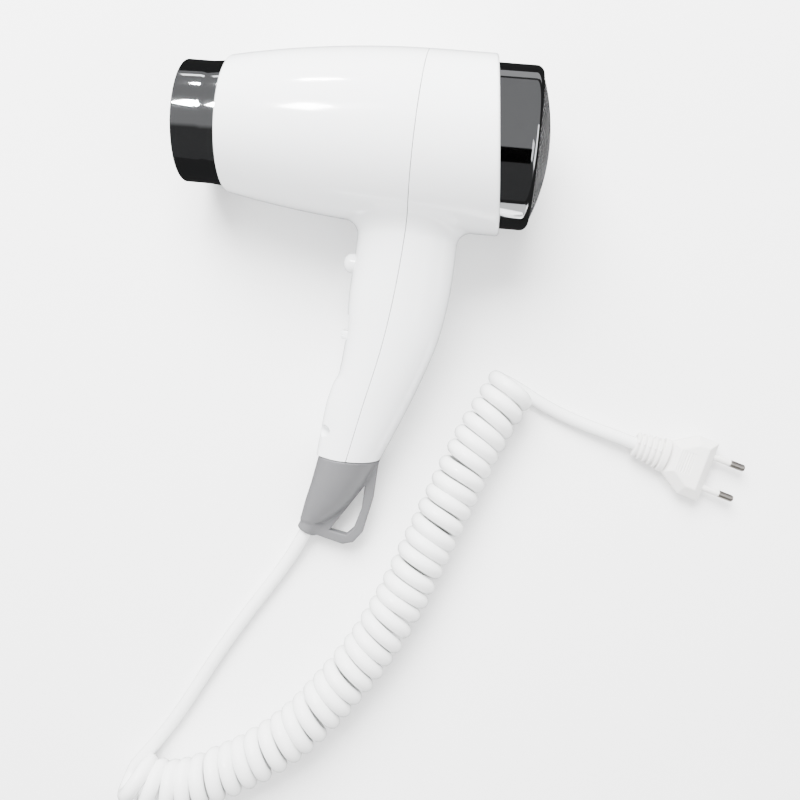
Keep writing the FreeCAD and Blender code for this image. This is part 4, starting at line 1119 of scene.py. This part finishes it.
def card(name, place, target, width, depth, glow):
    """A card that only mirrors show: black, or glowing."""
    made = bpy.data.materials.new(name)
    made.use_nodes = True
    tree = made.node_tree
    tree.nodes.remove(tree.nodes["Principled BSDF"])
    light = node(tree, "ShaderNodeEmission", Color=(glow, glow, glow, 1))
    tree.links.new(light.outputs["Emission"], tree.nodes["Material Output"].inputs["Surface"])
    board = stage_mesh(name, width, depth, made)
    board.location = place
    board.rotation_euler = (Vector(target) - Vector(place)).to_track_quat("Z", "Y").to_euler()
    board.visible_camera = False
    board.visible_diffuse = False
    board.visible_shadow = False


def lamp(name, place, target, width, depth, power, **shown_to):
    """A rectangular lamp that faces a point."""
    light = bpy.data.lights.new(name, "AREA")
    light.energy = power
    light.shape = "RECTANGLE"
    light.size = width
    light.size_y = depth
    holder = bpy.data.objects.new(name, light)
    holder.location = place
    holder.rotation_euler = (Vector(target) - Vector(place)).to_track_quat("-Z", "Y").to_euler()
    for kind, shown in shown_to.items():
        setattr(holder, kind, shown)
    bpy.context.scene.collection.objects.link(holder)


def surroundings():
    """Even pale light from all round; in mirrors a grey room that is darker on the handle's side."""
    world = bpy.data.worlds.new("studio")
    world.use_nodes = True
    tree = world.node_tree
    even = tree.nodes["Background"]
    even.inputs["Color"].default_value = (1, 1, 1, 1)
    even.inputs["Strength"].default_value = DAYLIGHT
    place = node(tree, "ShaderNodeTexCoord")
    axes = node(tree, "ShaderNodeSeparateXYZ")
    side = node(tree, "ShaderNodeMapRange")
    side.inputs["From Min"].default_value = -0.42
    side.inputs["From Max"].default_value = -0.3
    side.inputs["To Min"].default_value = MIRRORED_DARK
    side.inputs["To Max"].default_value = MIRRORED_BRIGHT
    room = node(tree, "ShaderNodeBackground")
    ray = node(tree, "ShaderNodeLightPath")
    mix = node(tree, "ShaderNodeMixShader")
    tree.links.new(place.outputs["Generated"], axes.inputs["Vector"])
    tree.links.new(axes.outputs["Y"], side.inputs["Value"])
    tree.links.new(side.outputs["Result"], room.inputs["Strength"])
    tree.links.new(ray.outputs["Is Glossy Ray"], mix.inputs["Fac"])
    tree.links.new(even.outputs["Background"], mix.inputs[1])
    tree.links.new(room.outputs["Background"], mix.inputs[2])
    tree.links.new(mix.outputs["Shader"], tree.nodes["World Output"].inputs["Surface"])
    bpy.context.scene.world = world


def studio():
    """A wide soft lamp beyond the barrel, two small ones for its highlights, and the cards the metal mirrors."""
    surroundings()
    barrel = (-0.03, 0.088, 0.09)
    lamp("soft", (-0.35, 1.0, 1.2), (0, 0, 0), 1.2, 1.2, 150, visible_glossy=False)
    lamp("bar_highlight", (-0.5, 0.4, 0.98), barrel, 0.16, 0.13, 14, visible_diffuse=False)
    lamp("thin_highlight", (-0.39, 0.93, 0.55), barrel, 0.13, 0.05, 5, visible_diffuse=False)
    card("black_over_cap", (0.18, -0.22, 0.72), (0.18, -0.22, 0), 0.4, 0.28, 0.0)
    card("glow_below_cap", (0.16, -0.3, 0.001), (0.16, -0.3, 1), 0.18, 0.44, 1.3)
    card("glow_beyond_cap", (0.16, 0.62, 0.001), (0.16, 0.62, 1), 0.2, 0.6, 0.5)
    card("glow_over_ring", (-0.31, 0.46, 0.96), (-0.09, 0.09, 0.08), 0.15, 0.12, 8)
    card("glow_beyond_ring", (-0.4, 1.5, 0.3), (-0.09, 0.1, 0.07), 0.5, 0.1, 4)
    card("glow_over_pins", (0.5, -0.12, 0.75), (0.228, -0.08, 0), 0.35, 0.35, 2)
    card("glow_by_mesh", (1.0, 0.1, 0.25), (0.1, 0.09, 0.05), 0.6, 0.3, 3)


floor()
studio()

bpy.context.view_layer.update()
